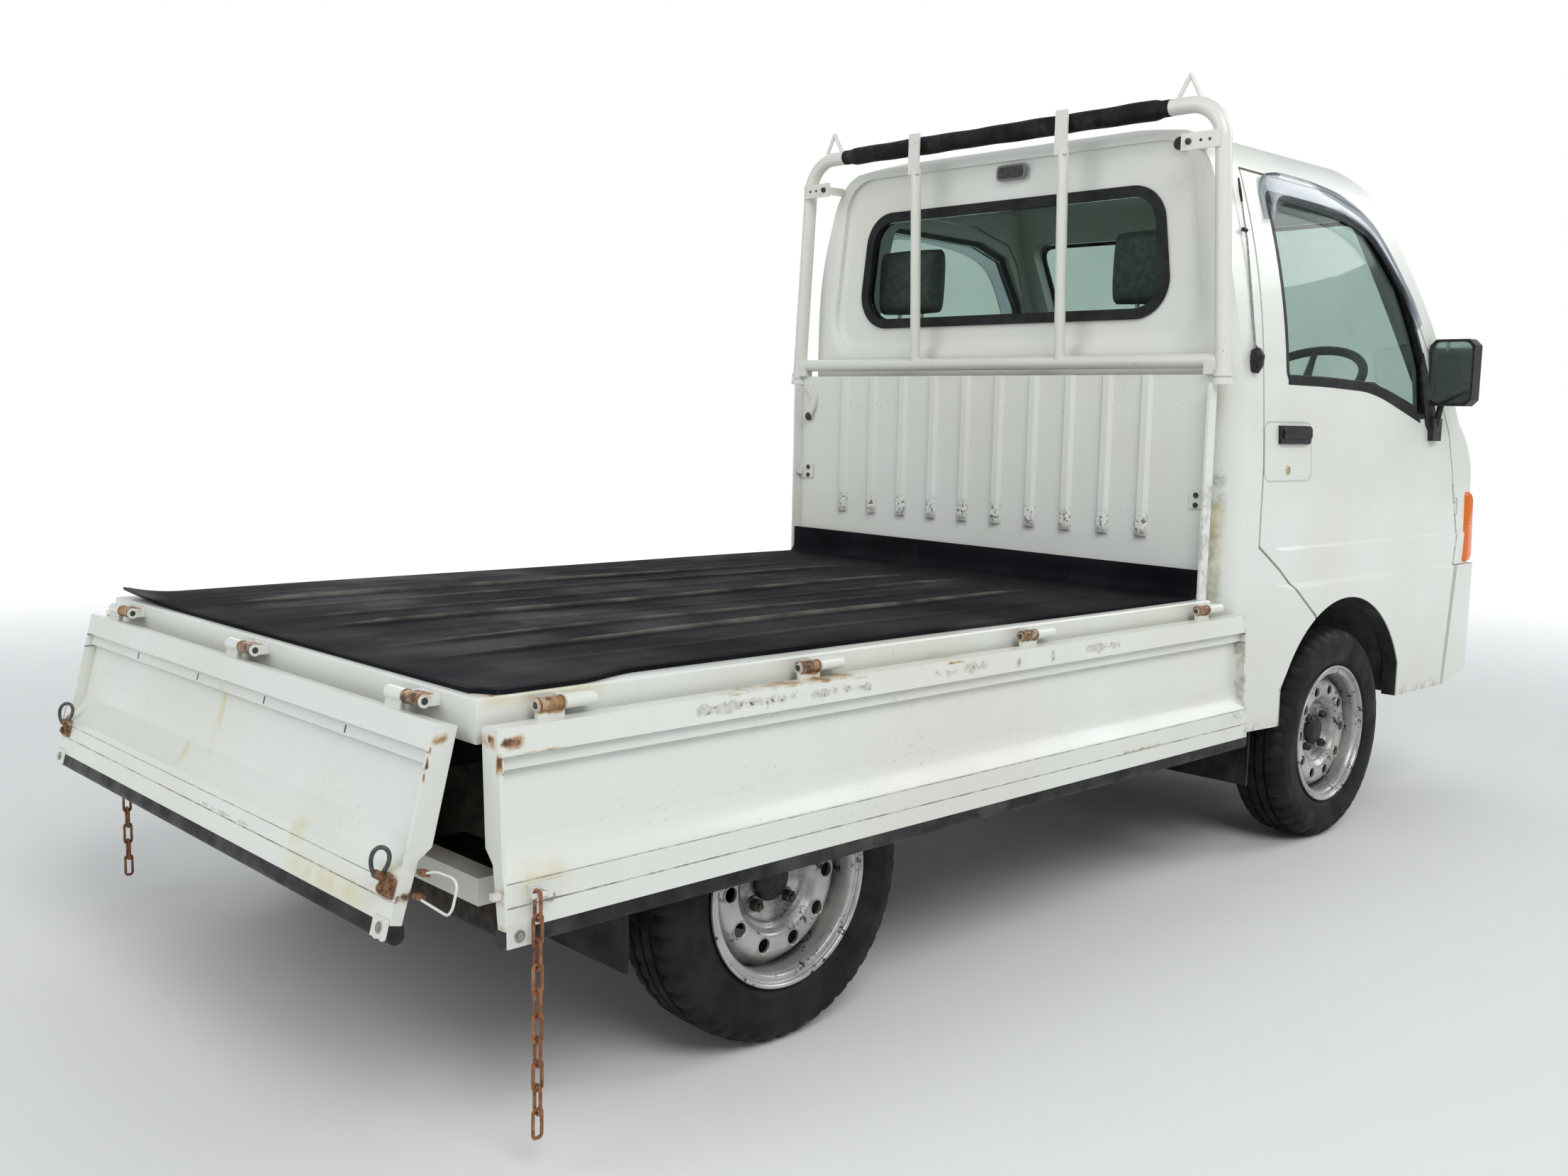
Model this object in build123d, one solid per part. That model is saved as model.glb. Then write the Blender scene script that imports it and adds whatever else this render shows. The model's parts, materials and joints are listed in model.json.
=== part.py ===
from build123d import *
from math import atan2, cos, degrees, radians, sin, tan
import os

# Small flat-bed cab-over truck with drop sides, standing with its three gates hanging open.
# Frame: +X forward, +Y to the left, +Z up, origin on the ground at the middle of its length and width.
# All sizes are millimetres and degrees.

# Clearances shared by the fits
SEAT = 0.3
RUN_FIT = 0.05
DOOR_GAP = 6.5
CLEAR = 6.0

# Wheels and axles
FRONT_AXLE_X = 905.0
WHEELBASE = 1885.0
REAR_AXLE_X = FRONT_AXLE_X - WHEELBASE
TRACK_HALF = 607.0
TYRE_R = 266.0
AXLE_Z = TYRE_R
RIM_LIP_R = 170.0
RIM_SEAT_R = 154.0
RIM_WALL_R = 149.0
HUB_R = 30.0
NUT_R = 10.0
NUT_CIRCLE_R = 52.0
VENT_CIRCLE_R = 108.0
VENT_R = 15.0
VENT_COUNT = 10
NUT_COUNT = 4
AXLE_R = 14.0
HUB_FACE_Y = TRACK_HALF - 18

# Steering
STEER_LEAN = 12.4
KINGPIN_FOOT_Y = 562.0
KINGPIN_FOOT_Z = 190.0
STRUT_R = 21.0
STRUT_TOP_Z = 575.0

# Cargo bed
DECK_Z = 645.0
DECK_HALF = 664.0
DECK_REAR_X = -1570.0
DECK_FRONT_X = 303.0
DECK_RIM = 62.0
DECK_SHEET = 4.0
MAT_T = 7.0

# Gate hinge lines, the side gates' and the tailgate's
HINGE_Z = 631.0
SIDE_HINGE_Y = DECK_HALF + 24
TAIL_HINGE_X = DECK_REAR_X - 24
HINGE_PIN_R = 6.0
HINGE_EYE_R = 10.0
HINGE_EYE_L = 46.0
SIDE_LEAN = 3.0
TAIL_LEAN = 14.0
SIDE_GATE_REAR_X = DECK_REAR_X
SIDE_GATE_FRONT_X = 390.0
TAIL_HALF = DECK_HALF - 16
SILLS_X = (-1480.0, -1300.0, -660.0, -210.0, 240.0)
SIDE_HINGES = (-1445.0, -945.0, -366.0, 250.0)
TAIL_HINGES = (-520.0, 20.0, 560.0)
GATE_START = 20.0
GATE_EDGE = 292.0
GATE_DROP = 318.0
GATE_BACK = -11.0
SIDE_LIP = 29.0
SIDE_FACE = 6.0
SIDE_SWELL = 32.0
TAIL_LIP = 24.0
TAIL_FACE = 4.0
TAIL_SWELL = 28.0
GATE_END_T = 7.0
GATE_FLANGE = 24.0

# Guard frame behind the cab
GUARD_X = 307.0
GUARD_T = 4.0
GUARD_HALF = 650.0
GUARD_TOP = 1140.0
RIB_COUNT = 10
RIB_PITCH = 105.6
RIB_W = 34.0
RACK_TUBE_R = 18.0
RACK_BAR_Z = GUARD_TOP + 30
RACK_TOP_Z = 1724.0
RACK_FOOT_Z = GUARD_TOP - 16
RACK_FOOT_Y = GUARD_HALF + 12
RACK_HEAD_Y = GUARD_HALF - 22
RACK_CLAMP_Z = RACK_TOP_Z - 82
RACK_BEND_R = 85.0
SLEEVE_R = 23.0

# Cab
CAB_REAR_X = 355.0
CAB_NOSE_X = 1692.0
CAB_BOTTOM_Z = 328.0
CAB_ROOF_Z = 1722.0
CAB_HALF = 694.0
CAB_WALL = 40.0
CAB_CORNER_R = 60.0
NOSE_SWEEP_R = 6000.0
ARCH_R = 345.0
BUMPER_TOP_Z = 658.0
SHUT_X = 1548.0
NOSE_PANEL_X = 1582.0
DOOR_AXIS_X = 1545.0
DOOR_AXIS_Y = 688.0
DOOR_AXIS_Z = 640.0
DOOR_LEAN = 3.0
DOOR_HINGES_Z = (708.0, 800.0)
DOOR_PIN_R = 2.6
DOOR_EYE_R = 5.0
GLASS_T = 5.0
GLASS_IN = 12.0
REAR_RECESS = 12.0
SASH_W = 9.0
GASKET_W = 15.0
ARCH_X = FRONT_AXLE_X
ARCH_Z = 268.0
ARCH_HALF = 312.0
WHEEL_CENTRE = (1255.0, -350.0, 1150.0)
WHEEL_RAKE = 35.0

# Chains and latches
LINK_L = 46.0
LINK_W = 19.0
LINK_T = 5.0
LINK_PITCH = LINK_L - 2 * LINK_T - 1.9
CHAIN_X = -1530.0
CHAIN_ALONG = 237.0
CHAIN_OFF = SIDE_SWELL + 19
CHAIN_PIN_R = 3.8
UPPER_LINKS = 5
LOWER_LINKS = 5

# Wheel sections. Columns: distance outward from the wheel's middle, radius.
RIM_BARREL = [
    (-63, RIM_LIP_R),
    (-57, RIM_LIP_R),
    (-53, RIM_SEAT_R),
    (53, RIM_SEAT_R),
    (58, RIM_LIP_R),
    (65, RIM_LIP_R),
    (61, RIM_WALL_R),
    (-59, RIM_WALL_R),
]
RIM_DISC = [
    (8, RIM_WALL_R + 2),
    (35, 125),
    (37, 91),
    (13, 68),
    (13, HUB_R - 6),
    (7, HUB_R - 6),
    (7, 71),
    (31, 92),
    (29, 124),
    (2, RIM_WALL_R + 2),
]
TYRE_SECTION = [
    (-52.4, RIM_SEAT_R + 0.6),
    (-56.4, RIM_LIP_R + 0.6),
    (-72, 206),
    (-68, 245),
    (-45, TYRE_R),
    (45, TYRE_R),
    (68, 245),
    (72.5, 206),
    (57.3, RIM_LIP_R + 0.6),
    (52.4, RIM_SEAT_R + 0.6),
    (42, RIM_SEAT_R + 0.6),
    (58, 206),
    (44, 252),
    (-44, 252),
    (-58, 206),
    (-42, RIM_SEAT_R + 0.6),
]

# Cab outlines. Columns: how the point is reached, first and second coordinate, outward bearing.
# "via" is the middle of the arc that ends at the next row. A bearing of None keeps the point where it is.
SIDE_OUTLINE = [
    ("line", 100, 100, None),
    ("line", 100, 1700, 90),
    ("line", 430, 1708, 91),
    ("via", 700, 1718, 90),
    ("arc", 1000, 1704, 84),
    ("via", 1110, 1674, 64),
    ("arc", 1195, 1608, 40),
    ("via", 1403, 1335, 35),
    ("arc", 1592, 1044, 42),
    ("via", 1655, 975, 30),
    ("arc", CAB_NOSE_X - 9, 890, 5),
    ("line", CAB_NOSE_X, 660, 2),
    ("line", CAB_NOSE_X, 100, 0),
]
REAR_OUTLINE = [
    ("line", CAB_REAR_X, 100, 180),
    ("line", CAB_REAR_X, 1655, 180),
    ("via", CAB_REAR_X + 15, 1691, 135),
    ("arc", CAB_REAR_X + 50, 1706, 95),
    ("line", 1900, 1790, 93),
    ("line", 1900, 100, None),
]
PLAN_OUTLINE = [
    ("line", CAB_REAR_X, 0, 180),
    ("line", CAB_REAR_X, 672 - CAB_CORNER_R, 180),
    ("via", CAB_REAR_X + 0.293 * CAB_CORNER_R, 672 - 0.293 * CAB_CORNER_R, 135),
    ("arc", CAB_REAR_X + CAB_CORNER_R, 672, 95),
    ("line", 660, 699, 92),
    ("line", 1588, 699, 90),
    ("via", 1643, 676, 45),
    ("arc", 1666, 621, 4),
    ("line", 1725, 0, 5),
]
FRONT_OUTLINE = [
    ("line", 0, 100, None),
    ("line", CAB_HALF, 100, 0),
    ("line", CAB_HALF, 652, 15),
    ("line", CAB_HALF - 7, 664, 14),
    ("line", CAB_HALF - 5, 744, 14),
    ("line", CAB_HALF - 9, 751, 16),
    ("via", 678, 950, 3),
    ("arc", 664, 1160, 4),
    ("via", 640, 1360, 10),
    ("arc", 583, 1585, 18),
    ("via", 555, 1640, 37),
    ("arc", 505, 1685, 70),
    ("via", 255, 1713, 86),
    ("arc", 0, CAB_ROOF_Z, 90),
]
BUMPER_OUTLINE = [
    ("line", 1490, 0, None),
    ("line", 1490, 696, 90),
    ("line", SHUT_X, 697, 90),
    ("line", 1640, 697, 90),
    ("via", 1678, 683, 45),
    ("arc", 1693, 645, 3),
    ("via", 1700, 320, 1),
    ("arc", 1703, 0, 0),
]

# Cab openings, outlines as x and z for the sides, y and z for the ends
DOOR_OUTLINE = [
    (480, 758), (480, 1606), (900, 1600), (1085, 1562), (1150, 1512), (1240, 1385), (1372, 1200),
    (1480, 1020), (1550, 748), (1540, 660), (1500, 320), (905, 320), (760, 540), (744, 581),
]
WINDOW_OUTLINE = [
    (592, 1142), (575, 1562), (960, 1556), (1095, 1522), (1225, 1392), (1328, 1190), (1334, 1066),
    (1288, 1066), (1030, 1142),
]
WINDSCREEN_OUTLINE = [(-588, 1082), (588, 1082), (512, 1572), (-512, 1572)]
REAR_WINDOW_OUTLINE = [(-475, 1285), (475, 1285), (440, 1560), (-440, 1560)]
REAR_RECESS_OUTLINE = [(-585, 1212), (585, 1212), (530, 1668), (-530, 1668)]
HEADLAMP_OUTLINE = [(410, 712), (588, 712), (588, 842), (410, 842)]
# Cuts along the door's front edge. Columns: lower corner, upper corner, each as x, y and z.
DOOR_RELIEF = [
    ((1500, -695, 320), (1540, -694, 658)),
    ((1539, -689, 655), (1551, -690, 752)),
    ((1551, -688, 745), (1515, -681, 884)),
]
# Door handle recess, as x and z limits.
HANDLE_BOX = (543, 685, 990, 1032)

# Wire bails, inner and outer outline. Columns: distance down the gate, y.
BAIL_OUTER = [(222, -658), (221, -732), (234, -745), (270, -745), (283, -732), (266, -658)]
BAIL_INNER = [(227, -663), (226, -729), (236, -740), (268, -740), (278, -729), (261, -663)]

PARTS = {}


def keep(name, *solids):
    """Store the solids of one node."""
    flat = []
    for item in solids:
        flat.extend(item.solids())
    PARTS[name] = Compound(children=flat) if len(flat) > 1 else flat[0]


def bar(x0, x1, y0, y1, z0, z1):
    """A plain block between two corners."""
    block = Box(abs(x1 - x0), abs(y1 - y0), abs(z1 - z0))
    return Pos((x0 + x1) / 2, (y0 + y1) / 2, (z0 + z1) / 2) * block


def rod(start, end, radius):
    """A round bar between two points."""
    a, b = Vector(*start), Vector(*end)
    axis = b - a
    plane = Plane(origin=a, z_dir=axis)
    return extrude(plane * Circle(radius), axis.length)


def ring_x(x0, x1, y, z, outer, inner):
    """A sleeve along X."""
    plane = Plane(origin=(x0, y, z), z_dir=(1, 0, 0))
    return extrude(plane * (Circle(outer) - Circle(inner)), x1 - x0)


def ring_y(y0, y1, x, z, outer, inner):
    """A sleeve along Y."""
    plane = Plane(origin=(x, y0, z), z_dir=(0, 1, 0))
    return extrude(plane * (Circle(outer) - Circle(inner)), y1 - y0)


def bent_tube(points, bend, radius):
    """A tube along straight runs with a bend at each inner corner."""
    path = FilletPolyline(*points, radius=bend)
    return sweep(Plane(origin=path @ 0, z_dir=path % 0) * Circle(radius), path=path)


def xz_prism(points, y0, y1):
    """A prism along Y over a closed outline of x and z."""
    outline = Plane.XZ * make_face(Polyline(*points, close=True))
    return Pos(0, y1, 0) * extrude(outline, y1 - y0)


def mirrored(shape):
    """The same shape on the other side of the truck."""
    return mirror(shape, about=Plane.XZ)


def both(shape):
    """The shape and its mirror image as one compound."""
    return Compound(children=[*shape.solids(), *mirrored(shape).solids()])


def outline_face(rows, inset):
    """A closed face through an outline's rows, moved inward along each row's bearing."""
    points = []
    for _, first, second, bearing in rows:
        shift = 0 if bearing is None else inset
        turn = radians(bearing or 0)
        points.append((first - shift * cos(turn), second - shift * sin(turn)))
    line = Curve()
    for i in range(1, len(rows)):
        if rows[i][0] == "line":
            line += Line(points[i - 1], points[i])
        elif rows[i][0] == "arc":
            line += ThreePointArc(points[i - 2], points[i - 1], points[i])
    line += Line(points[-1], points[0])
    return make_face(line)


def swept_nose(inset):
    """The side outline swept round a far upright axis, so that nose and windscreen bow gently."""
    far_axis = Axis((CAB_NOSE_X - NOSE_SWEEP_R, 0, 0), (0, 0, 1))
    turn = degrees(atan2(900, NOSE_SWEEP_R))
    solid = revolve(Plane.XZ * outline_face(SIDE_OUTLINE, inset), far_axis, 2 * turn)
    return solid.rotate(far_axis, -turn)


def flank_prism(inset):
    """The front outline run through the cab's length."""
    half = extrude(Plane.YZ * outline_face(FRONT_OUTLINE, inset), 2000)
    return half + mirrored(half)


def cab_solid(inset):
    """The cab's whole body, smaller by the inset on every side, and open below where it is inset."""
    half_plan = extrude(outline_face(PLAN_OUTLINE, inset), 2000)
    rear = extrude(Plane.XZ * outline_face(REAR_OUTLINE, inset), 2000)
    body = swept_nose(inset) & flank_prism(inset)
    body = body & (half_plan + mirrored(half_plan))
    return body & (Pos(0, 1000, 0) * rear)


def rounded_face(points, radius, grow=0.0):
    """A closed outline with rounded corners, grown by a margin."""
    face = make_face(Polyline(*points, close=True))
    face = fillet(face.vertices(), radius)
    return offset(face, amount=grow, kind=Kind.ARC) if grow else face


def arch_cut():
    """The front wheel opening: a circle with upright sides below the widest point."""
    disc = Plane(origin=(ARCH_X, 0, ARCH_Z), z_dir=(0, 1, 0)) * Circle(ARCH_R)
    round_part = Pos(0, -800, 0) * extrude(disc, 1600)
    slot = bar(ARCH_X - ARCH_HALF, ARCH_X + ARCH_HALF, -800, 800, 0, ARCH_Z + ARCH_R)
    return (round_part & slot) + bar(ARCH_X - ARCH_HALF, ARCH_X + ARCH_HALF, -800, 800, 0, ARCH_Z)


def door_axis_point(z):
    """A point on the right door's hinge line, which leans inward as it rises."""
    return (DOOR_AXIS_X, (z - DOOR_AXIS_Z) * tan(radians(DOOR_LEAN)) - DOOR_AXIS_Y, z)


def add_door_hinges(door, shell):
    """Two concealed hinges: pin and lugs on the pillar, an eye with its leaf on the door."""
    for z in DOOR_HINGES_Z:
        low, high, middle = door_axis_point(z), door_axis_point(z + 40), door_axis_point(z + 20)
        pocket = rod(door_axis_point(z - 2), door_axis_point(z + 42), DOOR_EYE_R + 3)
        door = door - pocket
        shell = shell - pocket
        eye = rod(door_axis_point(z + 10), door_axis_point(z + 30), DOOR_EYE_R)
        leaf = bar(DOOR_AXIS_X - 34, DOOR_AXIS_X, middle[1] - 1, middle[1] + 5, z + 10.3, z + 29.7)
        door = (door + eye + leaf) - rod(low, high, DOOR_PIN_R + RUN_FIT)
        shell = shell - bar(DOOR_AXIS_X - 34, DOOR_AXIS_X, middle[1] - 16, middle[1] + 9, z + 7, z + 33)
        for a, b in ((0, 9), (31, 40)):
            lug = rod(door_axis_point(z + a), door_axis_point(z + b), DOOR_EYE_R)
            plate = bar(DOOR_AXIS_X, DOOR_AXIS_X + 14, middle[1] - 1, middle[1] + 5, z + a + 0.3, z + b - 0.3)
            shell = shell + lug + plate
        shell = shell + rod(low, high, DOOR_PIN_R)
    return door, shell


def edge_relief(start, end, size):
    """A prism that takes the outer corner off the door's front edge, where it swings past its neighbours."""
    a, b = Vector(*start), Vector(*end)
    plane = Plane(origin=a, x_dir=(0, -1, 0), z_dir=b - a)
    corner = make_face(Polyline((-size - 1, 1), (1, 1), (1, -size - 1), close=True))
    back = make_face(Polyline((-size - 1, -1), (1, -1), (1, size + 1), close=True))
    forward = corner if plane.y_dir.X > 0 else back
    return extrude(plane * forward, (b - a).length)


def right_prism(face):
    """An outline of x and z run through the right-hand side wall only."""
    return Pos(0, -450, 0) * extrude(Plane.XZ * face, 400)


def build_cab():
    """The cab's shell, nose, bumper, lamps, glass and doors."""
    outer = cab_solid(0)
    shell = (outer & bar(0, 1900, -800, 800, CAB_BOTTOM_Z, 1800)) - cab_solid(CAB_WALL)
    shell = shell - arch_cut() - both(bar(CAB_REAR_X - 1, CAB_REAR_X + CAB_WALL + 1, 300 - SEAT, 350 + SEAT,
                                        CAB_BOTTOM_Z - 1, 560 + SEAT))
    door_face = make_face(Polyline(*DOOR_OUTLINE, close=True))
    door = shell & right_prism(door_face)
    for start, end in DOOR_RELIEF:
        door = door - edge_relief(start, end, 6)
    doorway = right_prism(offset(door_face, amount=DOOR_GAP, kind=Kind.ARC))
    shell = shell - doorway - mirrored(doorway)

    window = make_face(Polyline(*WINDOW_OUTLINE, close=True))
    window = fillet(window.vertices(), 18)
    door = door - right_prism(offset(window, amount=SASH_W, kind=Kind.ARC))
    skin = flank_prism(-1)
    sash_ring = offset(window, amount=SASH_W - SEAT, kind=Kind.ARC) - offset(window, amount=-3, kind=Kind.ARC)
    sash = (skin - flank_prism(24)) & right_prism(sash_ring)
    pane = offset(window, amount=-3 - SEAT, kind=Kind.ARC)
    glass = (flank_prism(GLASS_IN) - flank_prism(GLASS_IN + GLASS_T)) & right_prism(pane)

    x0, x1, z0, z1 = HANDLE_BOX
    door = door - bar(x0 - SEAT, x1 + SEAT, -720, -(664 - SEAT), z0 - SEAT, z1 + SEAT)
    handle = bar(x0, x1, -683, -664, z0, z1)
    handle = fillet(handle.edges().filter_by(Axis.Y), 8)
    keep("door_glass_right", glass)
    keep("door_glass_left", mirrored(glass))
    mirror_set = build_mirror()
    keep("door_trim_right", sash, handle, mirror_set)
    keep("door_trim_left", mirrored(sash), mirrored(handle), mirrored(mirror_set))

    screen = rounded_face(WINDSCREEN_OUTLINE, 50)
    opening = Pos(1000, 0, 0) * extrude(Plane.YZ * screen, 800)
    shell = shell - opening
    pane = Pos(1000, 0, 0) * extrude(Plane.YZ * rounded_face(WINDSCREEN_OUTLINE, 50, -SEAT), 800)
    keep("windscreen", (swept_nose(GLASS_IN) - swept_nose(GLASS_IN + GLASS_T)) & pane)

    recess = Plane.YZ * rounded_face(REAR_RECESS_OUTLINE, 95)
    shell = shell - (Pos(CAB_REAR_X - 5, 0, 0) * extrude(recess, REAR_RECESS + 5))
    hole = Plane.YZ * rounded_face(REAR_WINDOW_OUTLINE, 75)
    shell = shell - (Pos(CAB_REAR_X - 5, 0, 0) * extrude(hole, CAB_WALL + 20))
    back = CAB_REAR_X + REAR_RECESS
    inner = Plane.YZ * rounded_face(REAR_WINDOW_OUTLINE, 75, -10)
    lip = Plane.YZ * rounded_face(REAR_WINDOW_OUTLINE, 75, GASKET_W)
    body = Plane.YZ * rounded_face(REAR_WINDOW_OUTLINE, 75, -SEAT)
    gasket = (Pos(back - 7, 0, 0) * extrude(lip, 7 - SEAT)) + (Pos(back - 7, 0, 0) * extrude(body, 26))
    keep("rear_window_gasket", gasket - (Pos(back - 20, 0, 0) * extrude(inner, 60)))
    pane = Plane.YZ * rounded_face(REAR_WINDOW_OUTLINE, 75, -10 - SEAT)
    keep("rear_window", Pos(back + 4, 0, 0) * extrude(pane, GLASS_T))

    front_cut = bar(NOSE_PANEL_X, 1900, -800, 800, 660, 1012)
    nose = shell & front_cut
    shell = shell - bar(NOSE_PANEL_X - SEAT, 1900, -800, 800, 660 - SEAT, 1012 + SEAT)
    shell = shell - bar(1480, 1900, -800, 800, 0, 660)
    lamp = Pos(1590, 0, 0) * extrude(Plane.YZ * rounded_face(HEADLAMP_OUTLINE, 18), 160)
    marker = bar(1600, 1800, -750, -606, 667, 859)
    keep("headlamps", both(nose & lamp))
    keep("marker_lamps", both(nose & marker))
    nose = nose - lamp - mirrored(lamp) - marker - mirrored(marker)
    keep("nose_panel", nose)
    half = bar(0, 2000, -800, 0, 0, 2000)
    door, right_half = add_door_hinges(door, shell & half)
    keep("door_right", door)
    keep("door_left", mirrored(door))
    keep("cab_shell", right_half + mirrored(right_half))


def build_bumper():
    """The front bumper, a shell that wraps from one door to the other."""
    outer = extrude(outline_face(BUMPER_OUTLINE, 0), BUMPER_TOP_Z - CAB_BOTTOM_Z)
    inner = extrude(outline_face(BUMPER_OUTLINE, CAB_WALL), BUMPER_TOP_Z - CAB_BOTTOM_Z)
    half = outer - inner
    shell = Pos(0, 0, CAB_BOTTOM_Z) * (half + mirrored(half))
    gap = DOOR_GAP + 0.5
    top = 1540 + gap + 4.5
    behind_door = xz_prism([(1400, 300), (1500 + gap, 320), (top, 660), (top, 700), (1400, 700)],
                           -800, 800)
    under = CAB_BOTTOM_Z - 1
    chin = xz_prism([(1507, under), (1720, under), (1720, under + 39)], -800, 800)
    keep("front_bumper", shell - behind_door - chin)


def build_mirror():
    """The right door mirror: a foot on the door, a bent arm and the housing."""
    foot = bar(1346, 1396, -690, -672, 1000, 1060)
    arm = rod((1371, -684, 1040), (1371, -700, 1130), 8) + rod((1371, -700, 1125), (1371, -725, 1150), 8)
    head = Pos(1376, -722, 1180) * Box(56, 117, 174)
    head = chamfer(head.edges().filter_by(Axis.X), 16)
    head = chamfer(head.faces().sort_by(Axis.X)[-1].edges(), 8)
    skin = flank_prism(-SEAT)
    return (foot + arm - skin) + (head - flank_prism(-CLEAR))


def build_cab_inside():
    """Floor with wheel houses, seats, dashboard and steering column."""
    half_w = CAB_HALF - CAB_WALL - SEAT
    inside = cab_solid(CAB_WALL + CLEAR)
    floor = xz_prism([
        (396, 640), (1230, 640), (1272, 412), (1510, 412), (1580, 560), (1592, 553), (1520, 400),
        (1262, 400), (1220, 628), (396, 628),
    ], -half_w, half_w)
    liner = ring_y(374, half_w, ARCH_X, ARCH_Z, 360.5, 352)
    cheek = ring_y(367, 375, ARCH_X, ARCH_Z, 360.5, 60)
    house = (liner + cheek) & bar(500, 1300, 300, 700, 330, 639)
    floor = (floor + house + mirrored(house)) & inside
    keep("cab_floor", floor)

    side = make_face(Polyline(
        (425, 640 + SEAT), (900, 640 + SEAT), (960, 700), (945, 762), (860, 772), (540, 735), (515, 800),
        (478, 1240), (448, 1282), (408, 1270), (404, 900), (420, 700), close=True))
    seat = Pos(0, -160, 0) * extrude(Plane.XZ * side, 440)
    pillow = chamfer(Rectangle(78, 175).vertices(), 22)
    rest = Pos(0, -278, 0) * extrude(Plane.XZ * (Pos(455, 1398) * pillow), 204)
    posts = rod((450, -340, 1260), (455, -340, 1330), 6) + rod((450, -420, 1260), (455, -420, 1330), 6)
    seat = seat + rest + posts
    keep("seats", seat, mirrored(seat))

    dash = xz_prism([
        (1335, 800), (1322, 955), (1365, 1008), (1488, 1026), (1552, 965), (1552, 800),
        (1500, 700), (1430, 700), (1420, 790),
    ], -640, 640)
    legs = bar(1440, 1490, -60, 60, 412 + SEAT, 720)
    column_top, column_foot = wheel_point(42), wheel_point(260)
    tunnel = rod(wheel_point(0), wheel_point(300), 30 + SEAT)
    keep("dashboard", ((dash & inside) + legs) - tunnel)
    tube = rod(column_top, column_foot, 30) - rod(wheel_point(0), wheel_point(150), 10 + RUN_FIT)
    keep("steering_column", tube)


def wheel_point(depth):
    """A point on the steering column's axis, below the steering wheel's middle."""
    x, y, z = WHEEL_CENTRE
    return (x + depth * sin(radians(WHEEL_RAKE)), y, z - depth * cos(radians(WHEEL_RAKE)))


def build_steering_wheel():
    """Rim, hub, two spokes and the shaft that turns in the column."""
    plane = Plane(origin=WHEEL_CENTRE, z_dir=(-sin(radians(WHEEL_RAKE)), 0, cos(radians(WHEEL_RAKE))))
    rim = plane.location * revolve(Plane.XZ * (Pos(165, 0) * RegularPolygon(12.5, 6)), Axis.Z)
    hub = extrude((plane.offset(-32)) * Circle(42), 30)
    spokes = [plane.location * Rot(0, 0, a) * Pos(93, 0, -8) * Box(138, 26, 9) for a in (100, 260, 0, 180)]
    shaft = rod(wheel_point(30), wheel_point(140), 10)
    wheel = rim + hub + shaft
    for spoke in spokes:
        wheel = wheel + spoke
    keep("steering_wheel", wheel)


def build_bed():
    """Ladder frame with cross sills, the deck with its hinge lugs, and the rubber mat."""
    rail = xz_prism([
        (-1540, 470), (-1540, 560), (420, 560), (1090, 520), (1215, 392), (1535, 392), (1535, 312),
        (1190, 312), (1050, 430), (420, 470),
    ], 300, 350)
    frame = rail + mirrored(rail)
    for x0, x1, z0, z1 in ((-1100, -1050, 480, 550), (440, 500, 480, 545), (1240, 1300, 318, 386)):
        frame = frame + bar(x0, x1, -320, 320, z0, z1)
    for x0, x1, z0, z1 in ((480, 540, 540, 628), (1100, 1140, 420, 628), (1400, 1440, 380, 400)):
        frame = frame + both(bar(x0, x1, 302, 348, z0, z1 - SEAT))
    frame = frame + both(bar(1500, 1659, 302, 348, 348, 392))
    frame = frame + bar(-1320, -1270, -320, 320, 520 + SEAT, 550)
    keep("bed_frame", frame)
    sills = [bar(x - 22, x + 22, -650, 650, 560 + SEAT, DECK_Z - DECK_SHEET - SEAT) for x in SILLS_X]
    keep("bed_sills", *sills)
    beam = bar(-1540, -1500, -620, 620, 340, 380)
    for y in (-325, 325):
        beam = beam + bar(-1540, -1504, y - 25, y + 25, 360, 470 - SEAT)
    keep("rear_beam", beam)

    skirt_z = DECK_Z - DECK_RIM
    deck = bar(DECK_REAR_X, DECK_FRONT_X, -DECK_HALF, DECK_HALF, skirt_z, DECK_Z)
    deck = chamfer(deck.faces().sort_by(Axis.Z)[-1].edges(), 3)
    edge = DECK_SHEET
    deck = deck - bar(DECK_REAR_X + edge, DECK_FRONT_X - edge, edge - DECK_HALF, DECK_HALF - edge,
                      skirt_z - 1, DECK_Z - edge)
    for x in SIDE_HINGES:
        lug = side_lug(x)
        deck = deck + lug + mirrored(lug)
    for y in TAIL_HINGES:
        deck = deck + tail_lug(y)
    keep("bed_deck", deck)

    mat = bar(DECK_REAR_X + 14, GUARD_X - 12, -644, 640, DECK_Z + SEAT, DECK_Z + SEAT + MAT_T)
    mat = mat + bar(GUARD_X - 20, GUARD_X - 12, -640, 636, DECK_Z + SEAT, DECK_Z + 72)
    keep("bed_mat", mat)


def side_lug(x):
    """A fixed hinge lug on the deck's right edge, with the pin that the gate's eye turns on."""
    lug = rod((x, -SIDE_HINGE_Y, HINGE_Z), (x + 52, -SIDE_HINGE_Y, HINGE_Z), HINGE_EYE_R)
    lug = lug + bar(x, x + 52, -SIDE_HINGE_Y, -(DECK_HALF - 1), HINGE_Z - 8, HINGE_Z + 8)
    return lug + rod((x - HINGE_EYE_L, -SIDE_HINGE_Y, HINGE_Z), (x, -SIDE_HINGE_Y, HINGE_Z), HINGE_PIN_R)


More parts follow.
